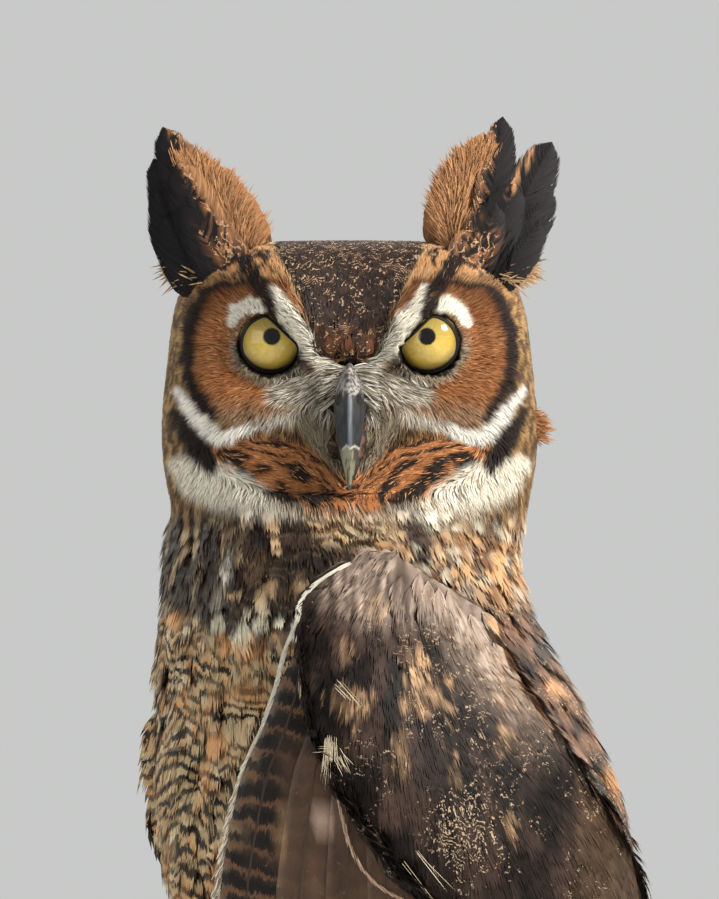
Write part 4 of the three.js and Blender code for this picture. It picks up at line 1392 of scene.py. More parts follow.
def flight_colors(name, places, over, along, part, chance, number, last, outer, edge):
    """Colour of one feather, and how much of the smooth dark panel of the first primaries it has."""
    x, _, z = in_head(places).T
    left = name == "wing_left_primaries"
    panel = soft(-29, -24, x) * soft(-140, -158, z) * left
    color = blend(MAUVE_DARK, MAUVE, noise(places, [4, 4, 14], 41) * 0.8 + chance * 0.2)
    if "primaries" in name:
        spot = soft(0.5, 0.62, noise(vectors(over * 0.15, along, number * 5), [1, 4, 1], 43))
        color = paint(
            color,
            (tone("523d2f") * (0.6 + 0.8 * noise(places, [3, 3, 20], 44))[:, None], panel),
            (PALE_EDGE, edge * (outer > 0) * (0.25 if last else 0.05)),
            (BUFF * 0.6, spot * soft(0.1, 0.4, outer) * 0.6 * (1 - panel)),
        )
        for oval, tint in PALE_SPOTS:
            near = off_spot(x, z, oval) + 1.7 * (noise(places, [1, 1, 4], 45) - 0.5)
            color = blend(color, tone(tint), (1 - soft(0.5, 1.2, near)) * 0.8 * left)
    else:
        spot = soft(0.55, 0.7, noise(vectors(over * 0.1, along, number * 5), 9, 43))
        color = blend(color, ORANGE_BUFF, spot * soft(0.2, 0.7, outer) * 0.8)
    return blend(color, tone("4a3b31"), part * 0.75), panel


def flight_row(name, lie, feathers, overlap):
    parts = []
    share = np.linspace(0.0, 1.0, 26)
    is_hand = "primaries" in name
    for number in range(feathers):
        across = (number + 0.5) / feathers
        shaft, outward = lie(across, share)
        before, after = (lie(across + step / feathers, share)[0] for step in (-0.5, 0.5))
        room = np.clip(np.linalg.norm(after - before, axis=1) / 2, 3.5, 13) * overlap
        outline = room * rounded_tip(share, full=0.9 if is_hand else 0.94)
        side = unit(np.cross(outward, unit(np.gradient(shaft, axis=0))))
        forward = np.sign((side * (after - before)).sum(1))[len(share) // 2]
        narrow = outline * (0.72 if is_hand else 1.0)
        left, right = (outline, narrow) if forward > 0 else (narrow, outline)
        layer = outward * (0.25 * number if forward > 0 else 0.25 * (feathers - number)) * 0.4
        made = vane(shaft + layer, outward, left, right, tilt=0.11 * forward)
        places, faces, over, along, part = made
        chance = dice.random()
        reach = np.interp(along, np.linspace(0, along.max(), len(share)), np.maximum(left, 0.5))
        edge = soft(0.78, 1.0, np.abs(over) / reach)
        color, panel = flight_colors(name, places, over, along, part, chance, number,
                                     number == feathers - 1, over * forward / room.max(), edge)
        uneven = 0.3 + 0.6 * soft(0.3, 0.6, noise(places, [4, 4, 9], 46))
        phase = along / (9 if is_hand else 13) + chance + 0.7 * noise(places, [3, 3, 14], 47)
        marks = vectors(phase, (1 - part) * uneven * (1 - 0.85 * panel), (1 - part) * 0.45)
        cell = (number + (over / 34 + 0.5) * 0.94) / feathers
        patch = np.stack([cell, 0.01 + along / along.max() * 0.97], 1)
        parts.append((places, faces, color, vectors(over, along, chance), marks, patch))
    places, faces, color, barb, marks, patch = joined(parts)
    return mesh_object(f"{name}_vanes", places, faces, color, patch, Barb=barb, Marks=marks)


for node, (lie, feathers, overlap) in FLIGHT_ROWS.items():
    dress(flight_row(node, lie, feathers, overlap), "flight_feathers", flight_material, node)

# %% [markdown]
# ## Ear tufts
# They are not ears but a few stiff blackish feathers over each brow, with a buff fringe on the side towards
# the crown. Each feather is a vane of its own with a thin pale shaft. The fringe is strands that start from
# the base and bend outwards at their tips. No two tufts are alike, so each has its own list.


# %% Lines through points
def knots_of(points):
    """How far along a bent line each of its points is."""
    return np.concatenate([[0], np.cumsum(np.linalg.norm(np.diff(points, axis=0), axis=1))])


def curve_through(points, count):
    """A smooth line through a few points, evenly spaced in the parameter."""
    points = np.array(points, float)
    knots = knots_of(points)
    return smooth_through(knots, points, np.linspace(0, knots[-1], count))

# %% Lists of the tufts' feathers
# (points from root to tip, widest half width towards the crown, the same towards the outside)
EAR_FEATHERS = {
    "right": [
        ([[-48, -21, 24], [-60.5, -19, 54], [-70.5, -12, 84]], 8.0, 7.5),
        ([[-51, -18, 18], [-65, -15, 43], [-74, -10, 72]], 8.0, 6.5),
        ([[-53, -20, 14], [-65, -18, 34], [-72.5, -13, 59]], 8.0, 7.0),
        ([[-49, -23, 13], [-61, -22, 31], [-69, -17, 49]], 8.0, 7.5),
        ([[-44, -24, 20], [-55, -23, 42], [-64.5, -17, 70]], 8.5, 8.0),
        ([[-43, -25, 18], [-52.5, -25, 36], [-60, -22, 57]], 8.0, 8.0),
        ([[-39, -26, 20], [-47, -25, 34], [-54, -22, 48]], 7.5, 7.5),
    ],
    "left": [
        ([[49, -20, 26], [54, -20, 56], [57.5, -12, 88]], 6.0, 7.0),
        ([[52, -18, 26], [65, -16, 54], [76.5, -6, 78.5]], 8.0, 8.5),
        ([[52, -20, 22], [65, -18, 42], [75, -10, 62]], 8.5, 8.0),
        ([[48, -22, 18], [61, -21, 32], [71.5, -15, 48]], 8.0, 7.5),
        ([[47, -23, 24], [55, -22, 42], [62, -16, 62]], 7.0, 7.5),
        ([[44, -24, 22], [50, -24, 37], [54.5, -20, 54]], 7.0, 7.0),
        ([[39, -26, 22], [44, -25, 32], [48, -22, 44]], 7.0, 7.0),
    ],
}
BUFF_FEATHERS = {  # the same for the buff side, which lies behind the black one
    "right": [
        ([[-40, -20, 26], [-53, -19, 52], [-66, -14, 79]], 7.5, 7.0),
        ([[-36, -20, 28], [-47, -19, 50], [-58, -15, 73]], 7.0, 7.0),
        ([[-33, -20, 30], [-42, -19, 48], [-51, -15, 69]], 7.0, 7.0),
        ([[-31, -19, 34], [-38, -18, 47], [-45, -15, 61]], 6.0, 6.5),
    ],
    "left": [
        ([[40, -20, 28], [46, -19, 56], [51.5, -13, 82]], 8.0, 6.5),
        ([[38, -20, 28], [41.5, -19, 52], [46.5, -14, 74]], 7.5, 7.0),
        ([[36, -20, 30], [37, -19, 49], [40, -15, 69]], 7.5, 7.0),
        ([[34, -19, 33], [34, -18, 46], [35.5, -15, 59]], 6.0, 6.5),
    ],
}
EAR_DARK, EAR_BUFF = tone("1a1719"), tone("a97c58")
EAR_BORDER = {  # where the black side of a tuft meets the buff one: heights, and how far out
    "right": ([22, 36.9, 50, 54.4, 63.1, 70.5, 75, 80.6, 88], [34, 44, 52, 55.5, 60.7, 64.5, 63.5, 66, 72]),
    "left": ([22, 36, 44, 51.7, 62.7, 71, 77.9, 88], [36, 42, 45, 47.9, 50.6, 52.9, 52.9, 54]),
}
PALE_STRIP = [(60.6, 57, 1.2), (65, 66, 2.0), (70.5, 77, 1.2)]  # between the two points of the left tuft


# %% Colours of the tufts
def ear_colors(local, strand):
    """The tufts are black outside and buff towards the crown, with crumbs of both where they meet."""
    x, _, z = local.T
    out = np.abs(x)
    border = np.where(x < 0, np.interp(z, *EAR_BORDER["right"]), np.interp(z, *EAR_BORDER["left"]))
    off = out - border + 3.2 * (noise(local, [2.4, 2.4, 5], 51) - 0.5) + 1.0 * (strand - 0.5)
    strip = inside(out, z, PALE_STRIP, 1.0) * (x > 0) * soft(0.35, 0.55, noise(local, [1.5, 1.5, 2.5], 55))
    # painted shade: the black is painted darker on the bird's left, where the key light falls
    night = blend(EAR_DARK, BLACK * 0.6, noise(local, [2, 2, 9], 54)) * (1 - 0.3 * (x > 0))[:, None]
    dusk = soft(0.5, 0.66, noise(local, [4, 4, 9], 53))
    buff = blend(blend(EAR_BUFF, ORANGE_BUFF, 0.5 * strand), tone("8a6a58"), dusk * 0.55)
    low = (1 - soft(34, 50, z)) * (1 - soft(7, 12, off * np.where(x < 0, 1, 0.75)))
    crumbs = np.maximum(0.8 * (1 - soft(0.8, 3.5, np.abs(off))), low)
    which = soft(0.36, 0.46, noise(local, [1.1, 1.1, 2.0], 52))
    color = paint(buff, (night, soft(-0.8, 0.8, off) * (1 - strip)),
                  (blend(blend(RUFOUS, buff, strand) * 0.8, night, which), crumbs * 0.9))
    return color, crumbs


# %% Vanes and barbs of a tuft
def barbs(shaft, outward, left, right, each, lean=1.7, cup=0.3):
    """Barbs leave a shaft to both sides, lean towards its tip and end in a soft, uneven edge."""
    knots = np.linspace(0, 1, len(shaft))
    side = unit(np.cross(outward, unit(np.gradient(shaft, axis=0))))
    length = knots_of(shaft)[-1]
    share = dice.uniform(0.03, 0.985, 2 * each)
    way = np.repeat([-1.0, 1.0], each)
    ends = share + np.minimum(lean * max(left.max(), right.max()) / length, (1 - share) * 0.75)
    half = np.where(way < 0, np.interp(ends, knots, left), np.interp(ends, knots, right))
    half = half * dice.uniform(0.88, 1.06, 2 * each)
    t = np.linspace(0, 1, 5)
    climb = share[:, None] + (ends - share)[:, None] * t

    def at(values):
        return np.stack([np.interp(climb, knots, values[:, k]) for k in range(3)], -1)

    up = at(outward)
    path = at(shaft) + at(side) * ((way * half)[:, None] * np.sin(t * np.pi / 2) ** 0.9)[..., None]
    path = path + up * (0.4 - cup * half[:, None] * t**2)[..., None]
    return strands(path, up, 0.5, start=0.0, roll=0.12)[:3]


def ear_feathers(name, rows, behind):
    parts = []
    share = np.linspace(0, 1, 18)
    total = len(rows) + len(behind)
    for number, (points, inner, outer) in enumerate(rows + behind):
        away = np.sign(points[0][0])
        before = number < len(rows)
        depth = -0.9 * number if before else 1.0 + 0.9 * (number - len(rows))
        shaft = curve_through(points, 18) + [0, depth, 0] + vectors(away * 1.2 * share**2, 0, 0) * before
        outward = np.tile([0.12 * away, -1.0, 0.1], (18, 1))
        outline = rounded_tip(share, full=0.68, root=0.2) * (1.13 if before else 0.95)
        left, right = (inner, outer) if away < 0 else (outer, inner)
        for kind in ("vane", "barbs"):
            if kind == "vane":
                made = vane(shaft, outward, 0.8 * left * outline, 0.8 * right * outline, cup=0.3, quill=0.2,
                            thick=0.3, columns=9)
                places, faces, over, along, part = made
                strand = np.full(len(places), dice.random())
                way = along / along.max()
            else:
                places, faces, way = barbs(shaft, outward, left * outline, right * outline, 280)
                strand = np.repeat(dice.random(len(way)), way.shape[1])
                way = way.ravel()
                over, along, part = (way - 0.5) * 8, way * 9, way * 0
            color, crumbs = ear_colors(places, strand)
            color = blend(color * (0.92 + 0.16 * strand)[:, None], tone("5a5256"), part * 0.4)
            patch = np.stack([(number + (over / 24 + 0.5) * 0.94) / total, way * 0.97 + 0.01], 1)
            marks = vectors(along / 9, 0, crumbs * 1.5)
            parts.append((from_head(places), faces, color, vectors(over, along, strand), marks, patch))
    places, faces, color, barb, marks, patch = joined(parts)
    return mesh_object(name, places, faces, color, patch, Barb=barb, Marks=marks)


ear_material = feather_material("ear_feathers", pale="cfa27c", rows=3.0, streak=0.5, rough=0.65, sheen=0.02,
                                specular=0.2, variety=0.2)
for label, nodes in (("right", ["tuft_right"]), ("left", ["tuft_left_inner", "tuft_left_outer"])):
    made = ear_feathers(f"ear_tuft_{label}_vanes", EAR_FEATHERS[label], BUFF_FEATHERS[label])
    dress(made, "ear_tuft", ear_material, *nodes)


# %% Hairs that stand free of the skin
def free_hairs(name, starts, ways, length, width, bend, colors, slot):
    """Strands in the head's axes from starts along ways, whose tips are carried off by bend. colors(places,
    strand) is asked in the same axes."""
    count = len(starts)
    t = np.linspace(0, 1, 5)[:, None]
    path = starts[:, None] + unit(ways)[:, None] * (length[:, None, None] * t)
    path = path + np.reshape(bend, (-1, 1, 3)) * t**2
    facing = unit(vectors(dice.normal(0, 0.15, count), -1.0, dice.normal(0, 0.15, count)))
    normals = np.repeat(facing[:, None], len(t), 1)
    corners, triangles, where, across = strands(path, normals, width, start=0.0, roll=0.12)
    strand = np.repeat(dice.random(count), where.shape[1])
    # painted shade: each hair is painted a little darker at its root
    color = colors(corners, strand) * (0.85 + 0.15 * soft(0, 0.4, where.ravel()))[:, None]
    barb = vectors((across.ravel() - 0.5) * 0.5, where.ravel() * 9, strand)
    patch = strand_map(from_head(starts), across, where)
    made = mesh_object(name, from_head(corners), triangles, color, patch, Barb=barb, Marks=barb * 0)
    dress(made, slot, down_material)


def along_line(points, count):
    """Random places along a bent line, how far along each is, and which way the line runs there."""
    points = np.array(points, float)
    share = dice.random(count)
    knots = knots_of(points)
    at = share * knots[-1]
    both = np.concatenate([points, np.gradient(points, knots, axis=0)], 1)
    found = vectors(*(np.interp(at, knots, column) for column in both.T))
    return found[:, :3], share, unit(found[:, 3:])


def between(a, b, factor=1.0):
    """Colours for hairs, each somewhere between two."""
    return lambda places, strand: blend(a, b, strand * factor)


# %% The fringe on the buff side of each tuft, the crumbs at its base and the wisps beside it
FRINGES = {  # from base to tip, a little inside the edge
    "right": [[-35.5, -20, 37], [-41.5, -19.5, 50], [-46.5, -18.5, 58.5], [-53, -17, 65], [-60, -14, 71]],
    "left": [[38, -20, 38], [34.5, -19.5, 49], [37, -18.5, 61], [42.5, -17, 69.5], [49, -14, 74]],
}
EAR_BASES = {
    "right": [[-38, -27, 26], [-48, -27, 27], [-58, -24, 26]],
    "left": [[37, -27, 26], [47, -27, 27], [58, -24, 27]],
}
for label, away in SIDES.items():
    count = 3000
    starts, share, _ = along_line(FRINGES[label], count)
    aside = dice.uniform(-1, 1, count)
    starts = starts + vectors((3.5 - aside * 5.2) * away, dice.normal(-0.4, 0.8, count) + aside,
                              dice.normal(0, 1.5, count))
    crownward = soft(-0.6, 1.0, aside) * (1 - 0.5 * share)
    ways = vectors(away * (0.3 - 0.95 * crownward) + dice.normal(0, 0.14, count),
                   dice.normal(0.1, 0.12, count), 1)
    length = (6.5 + 6.0 * crownward * dice.random(count) ** 1.6) * dice.uniform(0.7, 1.2, count)
    length = length * (1 - 0.35 * share)
    bend = vectors(-away * 1.6 * crownward * dice.random(count), dice.normal(0.4, 0.6, count),
                   -0.8 * crownward)
    free_hairs(f"ear_fringe_{label}", starts, ways, length, 0.42, bend, between(EAR_BUFF, ORANGE_BUFF, 0.5),
               "ear_tuft")
    count = 1500
    starts, share, _ = along_line(EAR_BASES[label], count)
    starts = starts + dice.normal(0, [1.5, 1.0, 3.6], (count, 3))
    ways = vectors(away * dice.uniform(0.1, 0.6, count), dice.normal(0.15, 0.1, count), 1)
    length = 10 * dice.uniform(0.6, 1.2, count)
    free_hairs(f"ear_base_{label}", starts, ways, length, 0.6, [0, 0, 0],
               lambda places, strand: ear_colors(places, strand)[0], "ear_tuft")
    count = 420
    line = [[away * 50, -24, 24], [away * 58, -22, 26], [away * 63, -14, 30], [away * 64, -4, 30]]
    starts = along_line(line, count)[0] + dice.normal(0, 1.6, (count, 3))
    ways = vectors(away * dice.uniform(0.5, 1.2, count), dice.normal(0.1, 0.3, count),
                   dice.normal(0.15, 0.45, count))
    length = 8 * dice.uniform(0.6, 1.25, count)
    bend = vectors(away, dice.normal(0.5, 0.6, count), dice.normal(-1.0, 1.0, count))
    free_hairs(f"ear_wisps_{label}", starts, ways, length, 0.6, bend, between(BUFF, TAN), "ear_tuft")

# %% [markdown]
# ## Cheek fluff
# On the bird's left the loose feathers of the cheek stand out beside the white edge of the face and soften
# its outline. Fine strands along a short line do this; a thicker coat would move the whole outline.

# %% The fluff that stands off the bird's left cheek
count = 260
line = [[67, -14, -25], [70.5, -10, -29], [70, -8, -35]]
starts = along_line(line, count)[0] + dice.normal(0, 1.0, (count, 3))
ways = vectors(1, dice.normal(-0.1, 0.2, count), dice.normal(-0.25, 0.3, count))
length = dice.uniform(4, 7.5, count)
free_hairs("cheek_fluff_left", starts, ways, length, 0.5, dice.normal(0, 0.8, (count, 3)),
           between(EAR_BUFF, ORANGE_BUFF, 0.5), "head_plumage")

# %% [markdown]
# ## The folded wing's white edge and loose quills
# The hand of a folded wing shows its leading edge, where a line of short white feathers runs from the wrist
# down the first primary. Where the rows part, pale down and a few bare shafts show between them.


# %% The leading edge of the left wing
def front_of(places, faces, spots):
    """Places in the head's axes at (x, z) spots, on the front of a surface."""
    tree = BVHTree.FromPolygons(places.tolist(), faces.tolist())
    found = []
    for x, z in spots:
        start = from_head(np.array([[x, -150.0, z]]))[0]
        hit = tree.ray_cast(Vector(start), Vector(HEAD_Y))[0]
        found.append([x, -60.0, z] if hit is None else in_head(np.array([hit[:]]))[0])
    return np.array(found)


arm_places = in_head(skin_places[skin_region == ARM_LEFT])
rim = []
for height in range(-80, -104, -4):
    level = arm_places[np.abs(arm_places[:, 2] - height) < 2.5]
    rim.append(level[level[:, 0].argmin()])
hand_lie = FLIGHT_ROWS["wing_left_primaries"][0]
rim = np.concatenate([rim, in_head(hand_lie(1.0, np.linspace(0.04, 0.97, 14))[0])])
print("the leading edge:", [tuple(int(v) for v in spot) for spot in rim[::4]])


def edge_hairs(name, line, count, width, spread_out, outwards, colors):
    """Short feathers along a line, which come loose towards its end."""
    starts, share, run = along_line(line, count)
    loose = soft(0.3, 0.6, share) * spread_out
    starts = starts + outwards * (dice.uniform(-0.5, 0.5, count) * (0.3 + 0.7 * spread_out + loose))[:, None]
    starts = starts + dice.normal(0, 0.2, (count, 3)) + [0, -1.2, 0]
    ways = run + outwards * (0.05 + 0.5 * loose * dice.random(count))[:, None]
    free_hairs(name, starts, ways, dice.uniform(3, 5, count), width, outwards * 0.3, colors, "wing_coverts")


def rim_color(places, strand):
    low = 1 - soft(-190, -120, places[:, 2])
    return blend(blend(WHITE, CREAM, strand), blend(BUFF, BROWN, strand), low * (strand > 0.45) * 0.9)


edge_hairs("wing_left_white_edge", rim, 3000, 0.45, 1.0, np.array([-1.0, -0.3, -0.15]), rim_color)

# %% Pale down and bare shafts
# (x and z where they start, x and z that they run along, length, how many, how far they spread)
LOOSE = [
    (-7, -147, -0.06, -1, 19, 50, 1.0), (-8, -151, -1, 0.1, 8, 7, 0.8), (-3, -153, 0.5, -0.9, 8, 10, 1.2),
    (-5, -126, 0.7, -0.8, 14, 6, 1.6), (-18.4, -125, 0.02, -1, 13, 6, 0.2),
    (25, -188, 0.62, -0.78, 24, 3, 0.3), (20, -191, 0.6, -0.8, 20, 2, 0.3),
]
surface = bpy.data.objects["wing_left_primaries_vanes"]
cover = corners_of(surface)
surface_faces = np.concatenate([triangles_of(surface), skin_faces + len(cover)])
cover = np.concatenate([cover, skin_places])
starts, ways, lengths = [], [], []
for x, z, run_x, run_z, size, many, wide in LOOSE:
    begins = front_of(cover, surface_faces, [(x, z)])
    ends = front_of(cover, surface_faces, [(x + run_x * size, z + run_z * size)])
    way = unit(ends - begins)
    starts.append(begins + [0, -5.0, 0] + dice.normal(0, 1, (many, 3)) * [wide, 0.3, 1.2])
    ways.append(np.repeat(way, many, 0) + dice.normal(0, 0.09, (many, 3)) * [1, 0.3, 1])
    lengths.append(size * dice.uniform(0.4, 1.05, many))
starts, ways, lengths = np.concatenate(starts), np.concatenate(ways), np.concatenate(lengths)
free_hairs("wing_left_quills", starts, ways, lengths, 0.2, [0, 0, 0], between(STRAW, WHITE, 0.5),
           "wing_coverts")
border = [(-5, -164), (-3.2, -173), (-1, -182), (1.5, -189), (5, -195), (10, -200.5), (16, -204.5),
          (23, -208)]
border = front_of(cover, surface_faces, border) + [0, -1.2, 0]
edge_hairs("wing_left_covert_edge", border, 260, 0.3, 0.0, np.array([-1.0, -0.2, -0.3]),
           between(TAN, tone("d9b8a4")))

# %% [markdown]
# ## Eyes
# The eyes are large and do not turn. Each is a glossy dome with a yellow iris, a round black pupil and a
# thick black lid. The lid's opening is a circle whose upper inner part is cut off by the brow, which gives
# the owl its stern look, so it is a curve of its own and the lid is lofted from it.

# %% Eyeballs
IRIS_MIDDLE = (29.3, 3.0)
IRIS_RADIUS = 12.3
PUPIL_RADIUS = 3.3
IRIS = {"pale": tone("dcc46c"), "mid": tone("c9a848"), "edge": tone("6b5c26")}


def eyeball(side, rings=40, around=96):
    turn = np.linspace(0, 2 * np.pi, around, endpoint=False)
    shape = [np.array([[0.0, -EYE_RADIUS, 0.0]])]
    for b in np.linspace(0, math.radians(78), rings + 1)[1:]:
        r, d = math.sin(b), math.cos(b)
        shape.append(vectors(r * np.cos(turn), -d, r * np.sin(turn)) * EYE_RADIUS)
    local = np.concatenate(shape) + [side * EYE_APART, -EYE_FORWARD, EYE_ABOVE_LINE]
    here = np.arange(around)
    after = (here + 1) % around
    faces = [np.stack([here * 0, 1 + after, 1 + here], 1)]
    for ring in range(rings - 1):
        a, b = (1 + ring * around + turned for turned in (here, after))
        faces += [np.stack([a, b, b + around], 1), np.stack([a, b + around, a + around], 1)]
    off = local[:, [0, 2]] - [side * IRIS_MIDDLE[0], IRIS_MIDDLE[1]]
    radius = np.hypot(off[:, 0], off[:, 1])
    angle = np.arctan2(off[:, 1], off[:, 0])
    share = radius / IRIS_RADIUS
    ray = noise(vectors(np.cos(angle) * 9, np.sin(angle) * 9, radius * 0.25), 1.0, 61)
    color = paint(IRIS["mid"], (IRIS["pale"], ray * (1 - soft(0.2, 0.9, share))),
                  (IRIS["edge"], soft(0.7, 1.0, share) * 0.85), (BLACK, soft(0.96, 1.03, share)))
    # painted shade: the upper part of the iris is painted darker, in the shade of the brow and lid
    color = color * (1 - 0.45 * soft(-2, 9, local[:, 2]))[:, None]
    color = blend(color, BLACK * 0.3, 1 - soft(PUPIL_RADIUS - 0.25, PUPIL_RADIUS + 0.25, radius))
    polar = vectors(np.cos(angle) * 10, np.sin(angle) * 10, radius)
    return mesh_object(f"eyeball_{'left' if side > 0 else 'right'}", from_head(local), np.concatenate(faces),
                       color, off / 40 + 0.5, Polar=polar)


def eye_material():
    material, tree, shader = new_material("eye")
    rays = noise_node(tree, stored(tree, "Polar"), 0.7, 3.0, 0.6)
    strength = plus(tree, 0.8, times(tree, rays, 0.4))
    fill(tree, shader, {
        "Base Color": scaled(tree, stored(tree, "Tint", "Color"), strength), "Roughness": 0.4,
        "Specular IOR Level": 0.1, "Coat Weight": 1.0, "Coat Roughness": 0.02,
    })
    return material


eye_finish = eye_material()
for node, side in (("eye_left", 1), ("eye_right", -1)):
    dress(eyeball(side), "eye", eye_finish, node)


# %% Lids
def skin_front(local_xz):
    """How far forward the skin is at places of the face."""
    depths = []
    for x, z in local_xz:
        start = from_head(np.array([[x, -90.0, z]]))[0]
        hit = skin_tree.ray_cast(Vector(start), Vector(HEAD_Y))[0]
        depths.append(in_head(np.array([hit[:]]))[0, 1])
    return np.array(depths)


# (how far out from the opening's edge, height above the eyeball)
LID_PROFILE = [(-0.7, -0.8), (-0.4, 0.2), (-0.1, 0.55), (0.25, 0.65), (0.6, 0.5), (0.9, 0.1), (1.4, -0.7),
               (2.2, -2.2)]


def ring_faces(rings, around):
    """Triangles between closed rings of corners."""
    first = np.arange(rings - 1)[:, None] * around
    a, b = ((first + turned).ravel() for turned in (np.arange(around), (np.arange(around) + 1) % around))
    return np.concatenate([np.stack([a, b, b + around], 1), np.stack([a, b + around, a + around], 1)])


def lid(side, around=96):
    turn = np.linspace(0, 2 * np.pi, around, endpoint=False)
    edge = opening_radius(turn)
    rows = []
    for out, height in LID_PROFILE:
        x, z = EYE_APART + (edge + out) * np.cos(turn), (edge + out) * np.sin(turn)
        ball = EYE_RADIUS**2 - (x - EYE_APART) ** 2 - (z - EYE_ABOVE_LINE) ** 2
        y = -EYE_FORWARD - np.sqrt(np.maximum(ball, 4)) - height
        if out > 0.8:
            skin_y = skin_front(np.stack([side * x, z], 1))
            for _ in range(3):
                skin_y = (np.roll(skin_y, 1) + 2 * skin_y + np.roll(skin_y, -1)) / 4
            y = np.minimum(y, skin_y - height * 0.8 + 0.2)
        rows.append(np.stack([side * x, y, z], 1))
    count = len(LID_PROFILE)
    faces = ring_faces(count, around)
    far = np.repeat([row[0] for row in LID_PROFILE], around)
    patch = np.stack([np.tile(turn / (2 * np.pi), count), np.repeat(np.linspace(0, 1, count), around)], 1)
    return mesh_object(f"lid_{'left' if side > 0 else 'right'}", from_head(np.concatenate(rows)),
                       faces[:, ::-1] if side > 0 else faces, blend(LID, TAUPE * 0.5, soft(1.2, 2.4, far)),
                       patch, Barb=vectors(0, far, 0.5), Marks=vectors(far * 0, 0, 0))


lid_material = feather_material("lids", streak=0.15, rough=0.55, sheen=0.0, specular=0.25)
for side in (1, -1):
    dress(lid(side), "head_plumage", lid_material)

# %% [markdown]
# ## Bristles
# The root of the bill is hidden by stiff hair-like feathers that start beside the cere and lean out over
# the face. They are free strands along a line on each side, because the skin has no room for them there.

# %% Bristles over the root of the bill
CERE_SIDE = np.array([[1.6, 0, -8.6], [2.6, 0, -9.8], [3.8, 0, -12], [4.8, 0, -16], [5.4, 0, -21]])


def bristle_color(places, strand):
    return blend(blend(DARK_BROWN, GREY, soft(0.1, 0.5, strand)), WHITE, soft(0.55, 1.0, strand) * 0.8)


for label, side in SIDES.items():
    count = 420
    starts, share, _ = along_line(CERE_SIDE * [side, 1, 1], count)
    starts = starts + dice.normal(0, 0.35, (count, 3))
    starts[:, 1] = np.minimum(skin_front(starts[:, [0, 2]]) - 0.3, -56 - 2 * dice.random(count))
    ways = vectors(side * dice.uniform(0.7, 1.1, count), dice.uniform(-0.35, 0.1, count),
                   0.1 - 0.8 * share + dice.normal(0, 0.2, count))
    free_hairs(f"bill_bristles_{label}", starts, ways, dice.uniform(4.5, 7.5, count), 0.4, [side, 1.2, -0.8],
               bristle_color, "head_plumage")

# %% [markdown]
# ## Bill and claws
# Both are horn, so they are smooth lofts along a bent line, with a gloss that is broken by fine growth lines
# and chips. The bill's upper half hides most of the lower one.


# %% Horn lofts
def loft(line, wide, high, side_way, around=28, ridge=0.0):
    """A closed tube along a line. ridge above 0 draws its front to a keel. The answer is its corners, its
    triangles and, for each corner, how far along, to the front and to the side it is."""
    rows = len(line)
    run = unit(np.gradient(line, axis=0))
    side = unit(np.tile(np.array(side_way, float), (rows, 1)))
    side = unit(side - run * (side * run).sum(1, keepdims=True))
    front = np.cross(run, side)
    turn = np.linspace(0, 2 * np.pi, around, endpoint=False)
    c, s = np.cos(turn), np.sin(turn)
    pinch = 1 - ridge * np.clip(s, 0, 1) ** 1.5
    rings = line[:, None] + side[:, None] * (c * pinch)[:, None] * wide[:, None, None]
    rings = rings + front[:, None] * s[:, None] * high[:, None, None]
    places = np.concatenate([rings.reshape(-1, 3), line[:1], line[-1:]])
    here = np.arange(around)
    after, first, last = (here + 1) % around, rows * around, (rows - 1) * around
    ends = [np.stack([here * 0 + first, after, here], 1),
            np.stack([here * 0 + first + 1, last + here, last + after], 1)]
    along = np.append(np.repeat(np.linspace(0, 1, rows), around), [0, 1])
    over, flank = (np.append(np.tile(values, rows), [0, 0]) for values in (s, c))
    return places, np.concatenate([ring_faces(rows, around), *ends]), along, over, flank


def horn_material():
    material, tree, shader = new_material("horn")
    grain = noise_node(tree, add_node(tree, "TexCoord", {}, "Object"), 900.0, 3.0, 0.6)
    strength = plus(tree, 0.75, times(tree, grain, 0.5))
    fill(tree, shader, {
        "Base Color": scaled(tree, stored(tree, "Tint", "Color"), strength), "Specular IOR Level": 0.4,
        "Roughness": plus(tree, 0.38, times(tree, grain, 0.35)), "Normal": bump(tree, grain, 0.2, 0.0003),
    })
    return material


horn_finish = horn_material()
SLATE, SLATE_HIGHLIGHT, HORN_TIP = tone("292a2d"), tone("7d848d"), tone("86846c")
CHIP_LINE = -40.0  # below this height the bill's outer layer has flaked off


def nostril_share(local):
    aside = np.abs(local[:, 0]) - 4.2
    off = np.hypot(aside / 1.2, (local[:, 2] + 20.8 + 0.3 * aside) / 2.3)
    return (1 - soft(0.7, 1.25, off)) * (local[:, 1] < -52)


def bill_colors(local):
    x, _, z = local.T
    streaks = noise(local, [0.6, 2.0, 3.2], 71)
    spots = noise(local, 0.9, 72)
    # painted highlight: ridge is a pale streak of light painted down the keel of the bill
    ridge = (1 - soft(0.2, 1.2, np.abs(x - 0.2))) * (1 - soft(-21, -18, z))
    cere_color = blend(tone("494543"), tone("a8a29c"), soft(0.35, 0.65, spots))
    zigzag = CHIP_LINE + 2.4 * np.abs((x / 3.1 + 0.35) % 1 - 0.5) + 0.5 * spots
    tip = paint(HORN_TIP, (SLATE, soft(0.45, 0.65, streaks) * 0.75),
                (SLATE * 0.6, soft(1.4, 3.4, np.abs(x + 0.4)) * 0.6))
    rim_line = (1 - soft(0.15, 0.6, np.abs(z - zigzag - 0.2))) * (x > -2.6)
    return paint(
        blend(SLATE * 0.55, SLATE * 1.2, soft(0.3, 0.7, streaks)),
        (SLATE_HIGHLIGHT, ridge * (0.45 + 0.4 * streaks)),
        (cere_color, soft(-20.5, -17.5, z + 2 * (spots - 0.5))),
        (tip, 1 - soft(-0.3, 0.3, z - zigzag)),
        (tone("cfccc0"), rim_line * 0.75),
        # painted shade: the nostrils are painted near black for the shade inside their openings
        (BLACK * 0.4, nostril_share(local)),
    )


def horn_piece(name, places, faces, color, patch, *nodes):
    dress(mesh_object(name, places, faces, color, patch), "horn", horn_finish, *nodes)


